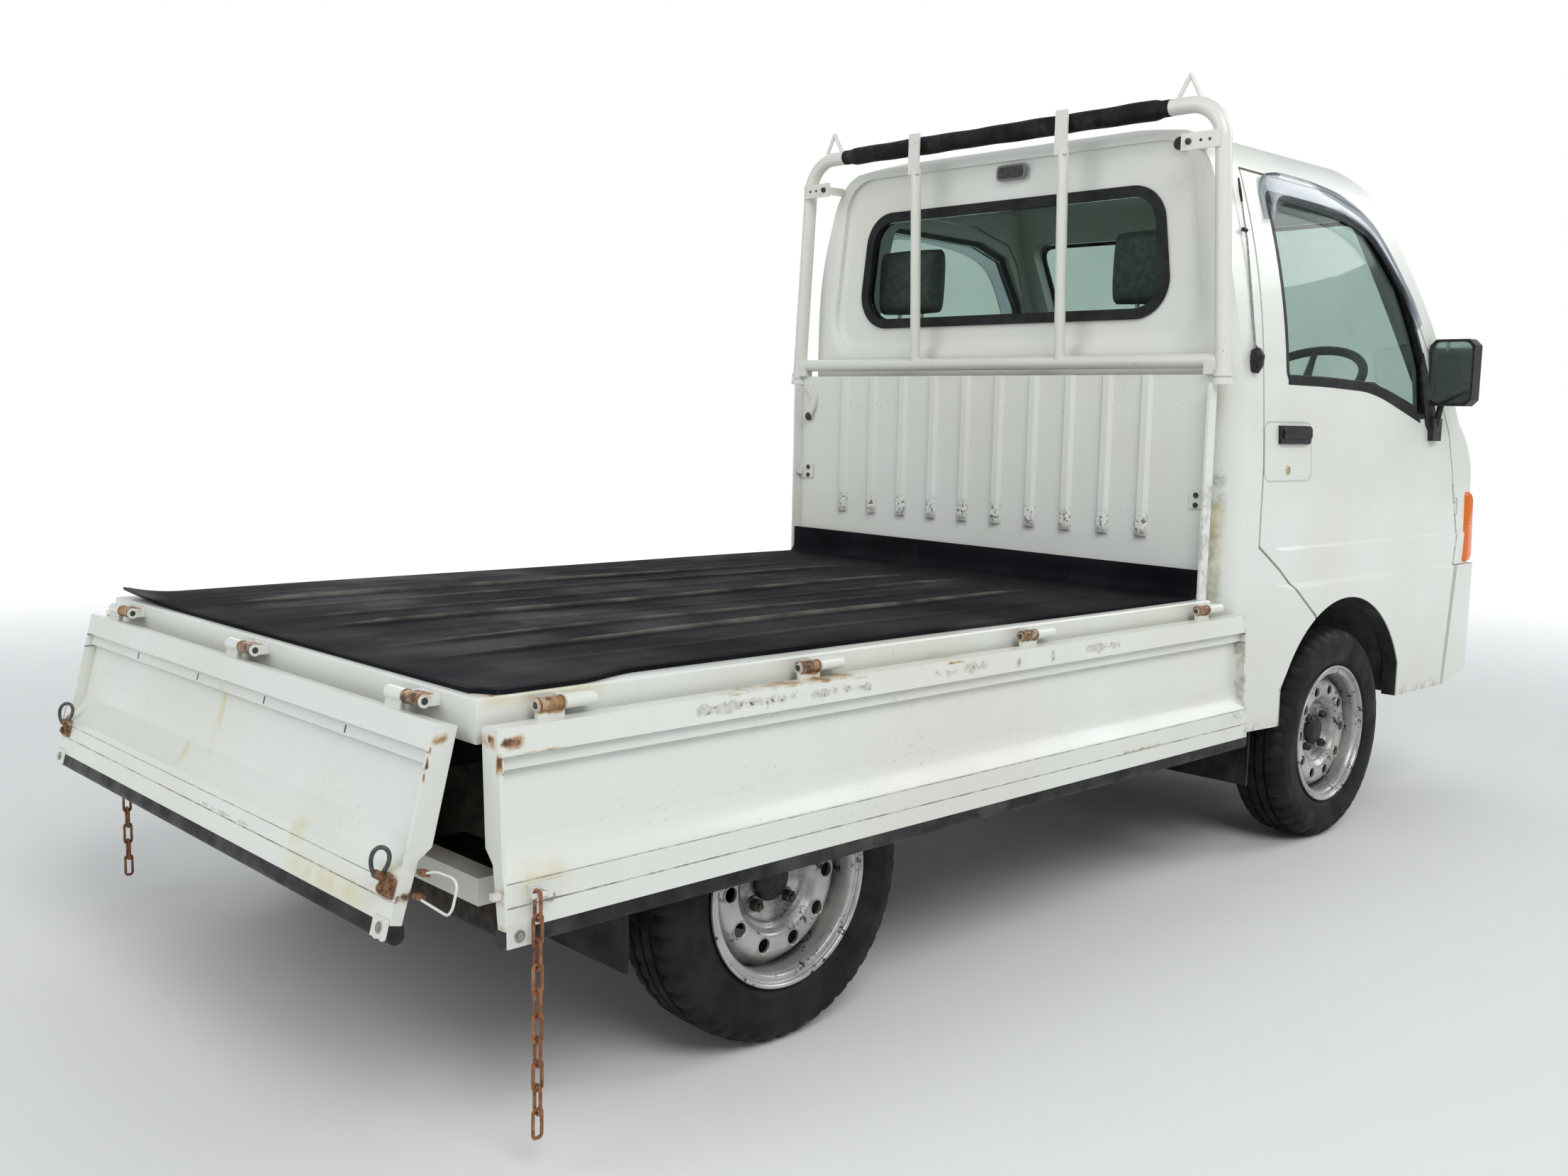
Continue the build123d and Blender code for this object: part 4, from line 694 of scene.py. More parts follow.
def rim_mesh():
    """A barrel, a dished disc with round vents, and a rolled bead round each vent."""
    barrel = [(-0.063, 0.1705), (-0.0575, 0.1705), (-0.0535, 0.154), (0.05, 0.154), (0.054, 0.1575), (0.0575, 0.1685),
              (0.0622, 0.172), (0.0668, 0.1712), (0.0672, 0.1672), (0.064, 0.1638), (0.06, 0.1628), (0.0592, 0.16),
              (0.0604, 0.156), (0.0586, 0.1515), (0.05, 0.1478), (-0.059, 0.149)]
    disc = [(0.006, 0.15), (0.016, 0.144), (0.024, 0.136), (0.0345, 0.1275), (0.0385, 0.118), (0.0385, 0.0985),
            (0.036, 0.09), (0.025, 0.081), (0.0215, 0.074), (0.014, 0.069), (0.013, 0.02), (0.008, 0.02),
            (0.008, 0.072), (0.017, 0.0765), (0.0205, 0.084), (0.031, 0.092), (0.033, 0.099), (0.033, 0.117),
            (0.029, 0.125), (0.019, 0.133), (0.011, 0.141), (0.001, 0.149)]
    vent_circle, level = 0.108, Matrix.Identity(4)
    cuts, extra = Build(), Build().lathe(rounded(barrel, 0.003, 3), level, 144)
    for a in turns(10):
        y, z = vent_circle * cos(a), vent_circle * sin(a)
        cuts.disc(0.0132, 28, Matrix.Translation((-0.02, y, z)) @ Matrix.Rotation(pi / 2, 4, "Y"), 0.08)
        extra.tube([(0.0378, y + u, z + v) for u, v in ring(0.0139, 28)], 0.0017, 8, closed=True)
    face = Build().lathe(rounded(disc, 0.004, 3), level, 120).bare("rim_face")
    tool, more = cuts.bare("rim_vents"), extra.bare("rim_more")
    mod = face.modifiers.new("cut", "BOOLEAN")
    mod.operation, mod.solver, mod.object = "DIFFERENCE", "EXACT", tool
    pierced = bpy.data.meshes.new_from_object(face.evaluated_get(bpy.context.evaluated_depsgraph_get()))
    whole = bmesh.new()
    whole.from_mesh(pierced)
    whole.from_mesh(more.data)
    mesh = bpy.data.meshes.new("rim_mesh")
    whole.to_mesh(mesh)
    whole.free()
    for old in (face, tool, more):
        bpy.data.objects.remove(old)
    shade(mesh, "rim_steel", 38)
    return mesh


def make_rims():
    mesh = rim_mesh()
    cap = [(0.013, 0.0003), (0.013, 0.0375), (0.0165, 0.038), (0.02, 0.0365), (0.0225, 0.0345), (0.0262, 0.03),
           (0.029, 0.022), (0.0305, 0.012), (0.031, 0.0003)]
    stud_circle = 0.052
    for name, x, side in WHEELS:
        place, body = wheel_place(x, side), f"wheel_{name}"
        rim = link(f"rim_piece_{name}", mesh)
        rim.matrix_world = place
        tie(rim, body, [f"rim_{name}"])
        nuts, washers = Build(), Build()
        for i in range(4):
            a = radians(45 + 90 * i)
            seat = shifted(place, 0.013, stud_circle * cos(a), stud_circle * sin(a)) @ Matrix.Rotation(pi / 2, 4, "Y")
            washers.disc(0.0145, 24, seat, 0.003, 0.001)
            nuts.disc(0.0112, 6, shifted(seat, 0, 0, 0.003), 0.014, 0.002, 0.3 + i)
            nuts.disc(0.0056, 12, shifted(seat, 0, 0, 0.016), 0.006, 0.001)
        Build().lathe(cap, place, 48).piece(f"hub_cap_{name}", "black_plastic", "black_plastic", body)
        nuts.piece(f"nuts_{name}", "nut_steel", "wheel_steel", body)
        washers.piece(f"washers_{name}", "rim_steel", "wheel_steel", body)


# Cargo mat: one ribbed, slightly wavy rubber sheet that turns up at the guard
MAT_REAR = -1.556


def mat_wave(x, y):
    """How far the top stands up: nine wandering ridges that fade at the ends, and a broad swell."""
    height = 0.0
    for i in range(9):
        middle = -0.5 + 0.125 * i + 0.01 * sin(2.1 * x + 1.7 * i) + 0.004 * sin(6.3 * x + 0.9 * i)
        strength = 0.5 + 0.5 * sin(1.6 * x + 2.3 * i + 0.4 * sin(3.1 * x))
        fade = min(1.0, max(0.0, (x + 1.5) / 0.15)) * min(1.0, max(0.0, (0.16 - x) / 0.25))
        height += 0.0088 * (0.25 + 0.75 * strength) * fade * exp(-((y - middle) / 0.0125) ** 2)
    return height + 0.0016 * (sin(5.0 * x + 2.0 * y) + sin(3.1 * x - 7.0 * y + 1.0) + 2.0) / 2


def mat_edge(x):
    """The wavy right edge."""
    def step(a, b, v):
        t = min(1.0, max(0.0, (v - a) / (b - a)))
        return t * t * (3 - 2 * t)
    inward = 0.03 * step(-1.4, -1.27, x) - 0.014 * step(-1.1, 0.1, x)
    corner = 0.036 * (1 - step(MAT_REAR, -1.515, x)) ** 2
    return -0.657 + inward + corner + 0.0012 * sin(9 * x)


def make_mat():
    low, thick, bend, count = 0.6453, 0.0068, 0.032, 150
    flat_x = 0.295 - thick - bend
    along = [(MAT_REAR + (flat_x - MAT_REAR) * i / 230, 0.0) for i in range(231)]
    along += [(flat_x + bend * sin(a), bend * (1 - cos(a))) for a in (pi / 2 * k / 7 for k in range(1, 8))]
    rise = along[-1][1]
    along += [(flat_x + bend, rise + 0.0095 * k) for k in range(1, 5)]
    last = len(along) - 1
    tops, unders = [], []
    for i, (x, z) in enumerate(along):
        (bx, bz), (ax, az) = along[min(i + 1, last)], along[max(i - 1, 0)]
        tangent = Vector((bx - ax, 0, bz - az)).normalized()
        normal = Vector((-tangent.z, 0, tangent.x))
        right, left = -0.64 if z > 0.001 else mat_edge(x), 0.64 + 0.003 * sin(4 * x)
        top, under = [], []
        for k in range(count + 1):
            y = right + (left - right) * k / count
            wave = mat_wave(x, y) if z == 0 else 0.0
            # the rear left corner curls up, and the turned-up strip slopes a little
            curl = max(0.0, 1 - (x - MAT_REAR) / 0.1) ** 2 * max(0.0, (y - 0.3) / 0.34) ** 2 * 0.016
            slope = 0.01 * (0.5 - k / count) if z > rise - 0.001 else 0.0
            p = Vector((x - 0.45 * curl, y, low + z + curl - slope * (z - rise) / 0.038))
            lift = thick * (0.75 if min(k, count - k, i, last - i) == 0 else 1.0)
            under.append(p)
            top.append(p + normal * (lift + wave))
        tops.append(top)
        unders.append(under)
    made = Build()
    a = made.grid(tops)
    b = made.grid([row[::-1] for row in unders])
    n = count + 1
    for i in range(last):
        here, ahead = i * n, (i + 1) * n
        made.faces += [(a + here, b + here + count, b + ahead + count, a + ahead),
                       (a + here + count, a + ahead + count, b + ahead, b + here)]
    for k in range(count):
        c, d = a + last * n, b + last * n
        made.faces += [(a + k, a + k + 1, b + count - 1 - k, b + count - k),
                       (c + k, d + count - k, d + count - 1 - k, c + k + 1)]
    mat = made.piece("cargo_mat", "mat_rubber", nodes=["bed_mat"], angle=50)


def make_chains():
    """Ten links a side, five on each run, every second one turned by a quarter."""
    path, top_z, pitch = panel(0.0205, 0.007, 0.0068, 6), 0.374007, 0.0341
    for side, where in SIDES:
        for run, first in (("upper", 0), ("lower", 5)):
            made = Build()
            for i in range(first, first + 5):
                across, along = (i + 1) % 2, i % 2
                made.tube([(-1.53 + along * v, side * (0.751831 + across * v), top_z - pitch * i + u) for u, v in path],
                          0.0026, 10, closed=True)
            made.piece(f"chain_piece_{run}_{where}", "chain_steel", "chain_steel", f"chain_{run}_{where}",
                       [f"chain_{run}_{where}"])


def make_steering_wheel():
    rake = radians(35)
    place = facing((1.255, -0.35, 1.15), (-sin(rake), 0, cos(rake)))
    made = Build()
    made.tube([place @ Vector((*p, 0)) for p in ring(0.165, 72)], 0.0125, 14, closed=True)
    for a in (100, 260, 0, 180):
        c, s = cos(radians(a)), sin(radians(a))
        made.tube([place @ Vector((r * c, r * s, z)) for r, z in (
            (0.03, -0.02), (0.075, -0.014), (0.12, -0.006), (0.16, -0.001))], [0.014, 0.011, 0.009, 0.009], 10)
    made.disc(0.043, 36, shifted(place, 0, 0, -0.032), 0.032, 0.008)
    made.disc(0.011, 24, shifted(place, 0, 0, -0.14), 0.11)
    made.piece("steering_wheel_piece", "black_plastic", "black_plastic", "steering_wheel", ["steering_wheel"])


def cushion(name, centre, pitch, size, crown, channels, nodes=()):
    """A padded block: crowned faces, sides that pull in, and stitched channels along one direction."""
    place = Matrix.Translation(centre) @ Matrix.Rotation(radians(pitch), 4, "Y")
    w, h, t = size
    cells = 44
    tops, lows = [], []
    for i in range(cells + 1):
        top, low = [], []
        u = -1 + 2 * i / cells
        for j in range(cells + 1):
            v = -1 + 2 * j / cells
            pull = 1 - 0.035 * (1 - v * v)
            side = 1 - 0.03 * (1 - u * u)
            x, y = u * w / 2 * (2 - pull) * 0.97, v * h / 2 * (2 - side) * 0.97
            edge = (max(0.0, 1 - abs(u) ** 7) * max(0.0, 1 - abs(v) ** 7)) ** 0.4
            seam = sum(exp(-((u - c) / 0.025) ** 2) for c in channels)
            dome = crown * (1 - u * u) * (1 - v * v)
            top.append(place @ Vector((x, y, t / 2 * edge + dome - 0.007 * seam * edge)))
            low.append(place @ Vector((x, y, -t / 2 * edge)))
        tops.append(top)
        lows.append(low[::-1])
    made = Build()
    made.grid(tops)
    made.grid(lows)
    obj = made.piece(name, "seat_vinyl", nodes=nodes, angle=60)
    mend(obj.data, weld=0.0004)


def make_seats():
    for side, where in SIDES:
        y = side * 0.38
        cushion(f"seat_squab_{where}", (0.725, y, 0.706), -3, (0.44, 0.44, 0.115), 0.012, (-0.45, 0.0, 0.45),
                ["seats"] if side < 0 else [])
        cushion(f"seat_back_{where}", (0.452, y, 1.01), -86, (0.54, 0.43, 0.085), 0.01, (-0.5, -0.1, 0.3))
        cushion(f"seat_rest_{where}", (0.455, y, 1.398), -88, (0.172, 0.205, 0.074), 0.006, ())
        posts = Build()
        for py in (-0.04, 0.04):
            posts.tube([(0.452, y + py, 1.2), (0.454, y + py, 1.3), (0.455, y + py, 1.36)], 0.0055, 10)
        posts.piece(f"seat_posts_{where}", "bright_steel", "wheel_steel")
        Build().block((0.45, y - 0.2, 0.6405), (0.92, y + 0.2, 0.662), 0.004).block(
            (0.415, y - 0.19, 0.6405), (0.455, y + 0.19, 0.8), 0.004).piece(
            f"seat_base_{where}", "black_plastic")


# Doors and the cab's corners
def skin_y(z):
    """The right flank's distance from the middle at a height."""
    rows = ((0.652, 0.694), (0.664, 0.687), (0.744, 0.689), (0.751, 0.685), (0.95, 0.678), (1.16, 0.664),
            (1.36, 0.64), (1.585, 0.583))
    for (z0, y0), (z1, y1) in zip(rows, rows[1:]):
        if z <= z1:
            return y0 + (y1 - y0) * (z - z0) / (z1 - z0)
    return rows[-1][1]


def on_flank(side, x, z, lift):
    return Vector((x, side * (skin_y(z) + lift), z))


def make_visor(side, where):
    """A smoked rain visor over the door window: a thin swelled strip between two edges."""
    upper = [(0.54, 1.5), (0.538, 1.565), (0.56, 1.606), (0.63, 1.618), (0.8, 1.616), (0.935, 1.605),
             (1.04, 1.584), (1.118, 1.55), (1.185, 1.488), (1.25, 1.404), (1.3, 1.325)]
    lower = [(0.568, 1.5), (0.602, 1.535), (0.628, 1.546), (0.66, 1.55), (0.8, 1.546), (0.92, 1.536),
             (1.005, 1.519), (1.07, 1.492), (1.132, 1.438), (1.202, 1.356), (1.264, 1.286)]
    rows = []
    for (x0, z0), (x1, z1) in zip(rounded(upper, 0.03, 3, closed=False), rounded(lower, 0.03, 3, closed=False)):
        row = []
        for t in (k / 6 for k in range(7)):
            proud = 0.003 + 0.017 * sin(pi * min(1.0, t * 0.75 + 0.02))
            row.append(on_flank(side, x0 + (x1 - x0) * t, z0 + (z1 - z0) * t, proud))
        rows.append(row + [p - Vector((0, side * 0.0022, 0)) for p in row[::-1]])
    Build().loft(rows).piece(f"rain_visor_{where}", "smoke", "window_glass", f"door_{where}", angle=70)


def make_mirror_cover(side, where):
    """The black corner cover that the mirror stands on."""
    outline = rounded([(1.3, 1.185), (1.318, 1.235), (1.336, 1.19), (1.392, 1.062), (1.402, 1.02), (1.372, 1.006),
                       (1.33, 1.04), (1.318, 1.09)], 0.008, 3)
    mid_x, mid_z = 1.345, 1.09
    rows = [[Vector((mid_x + (x - mid_x) * size, side * (skin_y(z) + lift), mid_z + (z - mid_z) * size))
             for x, z in outline] for lift, size in ((0.0, 1.0), (0.005, 1.0), (0.008, 0.88))]
    Build().loft(rows).piece(f"mirror_cover_{where}", "black_plastic", "black_plastic", f"door_{where}")


def make_window_seal(side, where):
    """A broad black seal along the lower edge of the door window."""
    lower = [(0.5915, 1.1265), (0.774, 1.126), (0.985, 1.1205), (1.076, 1.106), (1.213, 1.0695), (1.3, 1.046)]
    upper = [(0.5915, 1.15), (0.774, 1.1505), (1.003, 1.145), (1.1, 1.13), (1.213, 1.104), (1.27, 1.09)]
    rows = [[on_flank(side, x0, z0, -0.01), on_flank(side, x0, z0, 0.001),
             Vector((x0, side * (skin_y(z0 + 0.002) + 0.0025), z0 + 0.002)),
             Vector((x1, side * (skin_y(z1 - 0.002) + 0.0025), z1 - 0.002)),
             on_flank(side, x1, z1, 0.001), on_flank(side, x1, z1, -0.01)]
            for (x0, z0), (x1, z1) in zip(rounded(lower, 0.05, 3, closed=False), rounded(upper, 0.05, 3, closed=False))]
    Build().loft(rows).piece(f"window_seal_{where}", "gasket", "black_plastic", f"door_{where}")


def make_corner_lens(side, where):
    """The amber corner lens, standing a little proud."""
    plan = rounded([(1.604, 0.69), (1.616, 0.696), (1.652, 0.6935), (1.682, 0.678), (1.692, 0.648), (1.69, 0.612)],
                   0.012, 3, closed=False)
    rows = []
    for z, inset in ((0.664, 0.012), (0.667, 0.005), (0.682, 0.0), (0.764, 0.0), (0.836, 0.0), (0.852, 0.005),
                     (0.855, 0.012)):
        lean = (z - 0.672) * 0.03
        outer = [Vector((x - inset * 0.7 - lean * 0.5, side * (y - inset * 0.7 - lean), z)) for x, y in plan]
        rows.append(outer + [p + Vector((-0.012, -side * 0.012, 0)) for p in outer[::-1]])
    Build().loft(rows).piece(f"corner_lens_{where}", "lamp_amber")


def make_door_details():
    for side, where in SIDES:
        door, out = f"door_{where}", Vector((0, side, 0.05))
        Build().prism([(x, y * 1.35) for x, y in ring(0.0085, 24)], facing((0.588, side * 0.6785, 0.93), out), 0.0035,
                      0.0015).piece(f"keyhole_{where}", "brass", "wheel_steel", door)
        flap = rounded([(-0.066, -0.014), (0.066, -0.014), (0.066, 0.012), (-0.066, 0.012)], 0.006)
        Build().prism(flap, facing((0.616, side * 0.6835, 1.0165), out), 0.0045, 0.002).piece(
            f"handle_flap_{where}", "black_gloss", "black_plastic", door)
        Build().prism(panel(0.052, 0.08, 0.026), facing((1.3485, side * 0.723, 1.18), BACKWARD), 0.002).piece(
            f"mirror_glass_{where}", "mirror", "lamp_clear", door)
        make_visor(side, where)
        make_mirror_cover(side, where)
        make_window_seal(side, where)
        make_corner_lens(side, where)

    # aerial on the right pillar, folded against the shut line
    Build().tube([(0.43, -0.668, 1.15), (0.428, -0.6735, 1.165), (0.427, -0.675, 1.185), (0.428, -0.67, 1.2)],
                 [0.01, 0.015, 0.016, 0.01], 14).tube(
        [(0.437, -0.662, 1.204), (0.445, -0.655, 1.206)], 0.006, 10).piece("antenna_foot", "black_plastic")
    Build().tube([(0.428, -0.669, 1.19), (0.43, -0.648, 1.33), (0.433, -0.63, 1.44), (0.437, -0.608, 1.53)],
                 [0.0028, 0.0026, 0.0022, 0.0018], 10).piece("antenna_rod", "bright_steel", "wheel_steel")
    Build().tube([(0.437, -0.609, 1.527), (0.438, -0.603, 1.552), (0.44, -0.596, 1.58)], [0.0026, 0.0034, 0.002],
                 10).tube([(0.434, -0.627, 1.462), (0.42, -0.625, 1.464)], 0.0045, 10).piece(
        "antenna_tip", "black_plastic")


# Nose
NOSE_FROM = -4.308  # x of the upright axis that the nose is swept round


def nose_point(y, z, lift=0.0):
    """A point on the outer skin of the nose or the windscreen, lifted off it, and the way out of the skin."""
    def on_skin(y, z):
        # a parabola through three points of the side outline
        if z > 1.044:
            p, q, r = (1.195, 1.608), (1.403, 1.335), (1.592, 1.044)
        elif z > 0.89:
            p, q, r = (1.592, 1.044), (1.655, 0.975), (1.683, 0.89)
        else:
            p, q, r = (1.683, 0.89), (1.6875, 0.775), (1.692, 0.66)
        x = sum(a[0] * (z - b[1]) * (z - c[1]) / ((a[1] - b[1]) * (a[1] - c[1]))
                for a, b, c in ((p, q, r), (q, p, r), (r, p, q)))
        return Vector((NOSE_FROM + sqrt((x - NOSE_FROM) ** 2 - y * y), y, z))
    normal = (on_skin(y + 0.002, z) - on_skin(y - 0.002, z)).cross(on_skin(y, z + 0.002) - on_skin(y, z - 0.002))
    normal.normalize()
    return on_skin(y, z) + normal * lift, normal


def along_nose(points, lift):
    """Points every 3 cm or so along a line of y and z on the nose."""
    result = []
    for (y0, z0), (y1, z1) in zip(points, points[1:]):
        count = max(1, round(hypot(y1 - y0, z1 - z0) / 0.03))
        result += [nose_point(y0 + (y1 - y0) * k / count, z0 + (z1 - z0) * k / count, lift)[0] for k in range(count)]
    return result + [nose_point(*points[-1], lift)[0]]


def make_front_details():
    outline = rounded([(-0.586, 1.084), (0.586, 1.084), (0.51, 1.57), (-0.51, 1.57)], 0.048, 6)
    Build().tube(along_nose(outline + outline[:1], -0.0005)[:-1], 0.0075, 10, closed=True).piece(
        "windscreen_gasket", "gasket", "black_plastic")
    # two wipers at rest
    arms, blades = Build(), Build()
    for y in (0.1, -0.42):
        foot, out = nose_point(y, 1.058)
        arms.disc(0.015, 20, facing(foot - out * 0.002, out), 0.012, 0.003)
        arms.disc(0.0075, 6, facing(foot + out * 0.009, out), 0.008, 0.002)
        arms.tube([nose_point(y + dy, z, lift)[0] for dy, z, lift in (
            (0, 1.058, 0.013), (0.06, 1.066, 0.018), (0.16, 1.092, 0.017), (0.245, 1.118, 0.016))],
            [0.006, 0.0055, 0.0042, 0.0034], 10)
        blades.tube(along_nose([(y + 0.02, 1.106), (y + 0.245, 1.118), (y + 0.45, 1.132)], 0.0125), 0.0042, 8)
        blades.tube(along_nose([(y + 0.01, 1.1025), (y + 0.245, 1.1145), (y + 0.46, 1.1295)], 0.006), 0.003, 8)
    arms.piece("wiper_arms", "black_plastic")
    blades.piece("wiper_blades", "gasket", "black_plastic")
    rims = Build()
    for side, _ in SIDES:
        outline = rounded([(side * 0.412, 0.714), (side * 0.586, 0.714), (side * 0.586, 0.84), (side * 0.412, 0.84)],
                          0.017)
        rims.tube(along_nose(outline + outline[:1], 0.0)[:-1], 0.0038, 8, closed=True)
    rims.piece("lamp_rims", "gasket", "black_plastic")


def make_rear_wall():
    vent, place = panel(0.046, 0.019, 0.013, 5), facing((WALL_X, -0.024, 1.639), BACKWARD)
    Build().prism(vent, place, 0.004, 0.002).piece("cab_vent_rim", "vent_grey", "black_plastic")
    # the vent's face is a thin dark plate of painted shade in its opening
    Build().prism([(x * 0.84, y * 0.74) for x, y in vent], shifted(place, 0, 0, 0.004), 0.0012, 0.0006).disc(
        0.0045, 16, shifted(place, -0.026, 0.006, 0.004), 0.003, 0.001).piece(
        "cab_vent_face", "opening_shade", "black_plastic")
    Build().disc(0.0145, 28, facing((WALL_X, -0.495, 1.655), BACKWARD), 0.005, 0.002).piece(
        "cab_plug", "black_plastic")
    # clamp bolts of the rack's side plates, and its holes drawn as thin dark discs of painted shade
    for side, where in SIDES:
        bolt, holes = Build(), Build()
        for radius, depth in ((0.0075, 0.005), (0.0045, 0.009)):
            bolt.disc(radius, 6, facing((PLATE_X, side * 0.56, 1.642), BACKWARD), depth, 0.001)
        bolt.piece(f"clamp_bolt_{where}", "nut_steel", "frame_paint")
        for y in (0.59, 0.612):
            holes.disc(0.0035, 14, facing((PLATE_X, side * y, 1.642), BACKWARD), 0.0006)
        holes.piece(f"clamp_hole_{where}", "opening_shade", "frame_paint")


def make_guard_details():
    # hook plates at the guard's edges: a plate, a finger out of it, and the finger's turned tip
    for name, y, z, turn in (("left", 0.614, 0.878, 1), ("right", -0.62, 0.864, -1)):
        face_x, finger_y = GUARD_X - 0.003, y + turn * 0.02
        tip = sorted((finger_y, y + turn * 0.028))
        Build().block((face_x, y - 0.022, z - 0.02), (GUARD_X, y + 0.022, z + 0.02)).block(
            (0.29, finger_y - 0.003, z - 0.01), (GUARD_X, finger_y + 0.003, z + 0.012)).block(
            (0.286, tip[0], z - 0.008), (0.2905, tip[1], z + 0.004)).piece(
            f"hook_plate_{name}", "frame_paint")
        bolts = Build()
        for dz in (-0.011, 0.011):
            bolts.disc(0.0065, 6, facing((face_x, y - turn * 0.004, z + dz), BACKWARD), 0.004, 0.001, 0.4)
        bolts.piece(f"hook_bolts_{name}", "nut_steel", "frame_paint")
    # curved arm below the bar's left end
    arm = rounded([(0.612, 1.118), (0.604, 1.1), (0.5905, 1.086), (0.592, 1.06), (0.604, 1.04), (0.61, 1.026)],
                  0.014, 4, closed=False)
    rows = []
    for i, (y, z) in enumerate(arm):
        t = (Vector(arm[min(i + 1, len(arm) - 1)]) - Vector(arm[max(i - 1, 0)])).normalized()
        rows.append([(GUARD_X - d, y + t.y * w, z - t.x * w) for d, w in (
            (0, -0.008), (0.01, -0.008), (0.01, 0.008), (0, 0.008))])
    Build().loft(rows).piece("hoop_bracket", "frame_paint")
    Build().disc(0.0115, 24, facing((0.2955, 0.609, 1.03), BACKWARD), 0.005, 0.002).disc(
        0.0055, 6, facing((0.291, 0.609, 1.03), BACKWARD), 0.004, 0.001).piece(
        "hoop_bracket_bolt", "nut_steel", "frame_paint")
    # collars that carry the hoop's feet
    for side, where in SIDES:
        made = Build()
        for z0, z1, radius in ((1.118, 1.132, 0.0225), (1.136, 1.15, 0.0215)):
            made.tube([(HOOP_X, side * 0.6615, z0), (HOOP_X, side * 0.661, z1)], radius, 20)
        made.piece(f"foot_collar_{where}", "frame_paint")


def make_sleeve():
    """The foam tube on the rack's top bar, a little uneven, with taped ends."""
    half, bar_z, sides = 0.5, 1.724, 28
    rows = []
    for i in range(121):
        y = half - i / 120
        taped = min(1.0, 0.55 + 12 * (half - abs(y)))
        rows.append([(0.0222 * taped + 0.0006 * sin(19 * y + 2 * a) + 0.0005 * sin(47 * y + a), a, y)
                     for a in turns(sides)])
    rows += [[(0.0186, a, y) for a in turns(sides)] for y in (-half, half)]
    made = Build()
    made.grid([[(HOOP_X + r * cos(a), y, bar_z + r * sin(a)) for r, a, y in row] for row in rows], True, True)
    made.piece("foam_tube", "foam_sleeve", nodes=["rack_sleeve"], angle=60)


# Gates, from points along the hinge, down the gate and out of its face
def gate_point(side, x, u, w):
    y = GATE_PIN_Y + u * sin(GATE_LEAN) + w * cos(GATE_LEAN)
    return Vector((x, side * y, PIN_Z - u * cos(GATE_LEAN) + w * sin(GATE_LEAN)))


def tail_point(y, u, w):
    x = TAIL_PIN_X - u * sin(TAIL_LEAN) - w * cos(TAIL_LEAN)
    return Vector((x, y, PIN_Z - u * cos(TAIL_LEAN) + w * sin(TAIL_LEAN)))


def make_gate_details():
    for side, where in SIDES:
        body = f"side_gate_{where}"
        # hinge sleeves, each open bore drawn as a thin dark disc of painted shade
        bands, bores = Build(), Build()
        for x in GATE_PINS:
            bores.disc(0.0052, 18, facing((x - 0.0465, side * GATE_PIN_Y, PIN_Z), BACKWARD), 0.0004)
            for x0, x1 in ((x - 0.044, x - 0.041), (x - 0.007, x - 0.003)):
                bands.tube([(x0, side * GATE_PIN_Y, PIN_Z), (x1, side * GATE_PIN_Y, PIN_Z)], EYE_R, 22)
        bores.piece(f"hinge_bores_{where}", "opening_shade", "body_paint", body)
        bands.piece(f"hinge_bands_{where}", "rusty_steel", "body_paint", body)
        # washers and bolts of the chain's hook plate and the end plates
        washers, bolts = Build(), Build()
        for x, u, w in ((-1.497, 0.256, 0.0325), (-1.5495, 0.301, 0.0343), (0.38, 0.27, 0.0083)):
            place = facing(gate_point(side, x, u, w), (0, side * 0.99863, 0.05234))
            washers.disc(0.0085, 24, place, 0.0016, 0.0006)
            bolts.disc(0.0055, 6, shifted(place, 0, 0, 0.0016), 0.004, 0.0012, x)
        washers.piece(f"gate_washers_{where}", "zinc_steel", "frame_paint", body)
        bolts.piece(f"gate_bolts_{where}", "zinc_steel", "frame_paint", body)
    bores, bands = Build(), Build()
    for y in TAIL_PINS:
        # each bore is a thin dark disc of painted shade
        bores.disc(0.0052, 18, facing((TAIL_PIN_X, y - 0.0521, PIN_Z), (0, -1, 0)), 0.0004)
        for y0, y1 in ((y - 0.0505, y - 0.0475), (y - 0.008, y - 0.003)):
            bands.tube([(TAIL_PIN_X, y0, PIN_Z), (TAIL_PIN_X, y1, PIN_Z)], EYE_R, 22)
    bores.piece("tail_hinge_bores", "opening_shade", "body_paint")
    bands.piece("tail_hinge_bands", "rusty_steel", "body_paint")
    normal = Vector((-0.9703, 0, 0.2419))
    slots = Build()
    for y in (0.4, 0.13, -0.13, -0.4):
        # the slots are thin dark plates of painted shade
        slots.prism(panel(0.0015, 0.006, 0.001), facing(tail_point(y, 0.069, 0.0141), normal), 0.0004)
    slots.piece("tail_slots", "opening_shade", "body_paint", "tailgate")
    make_latches(normal)


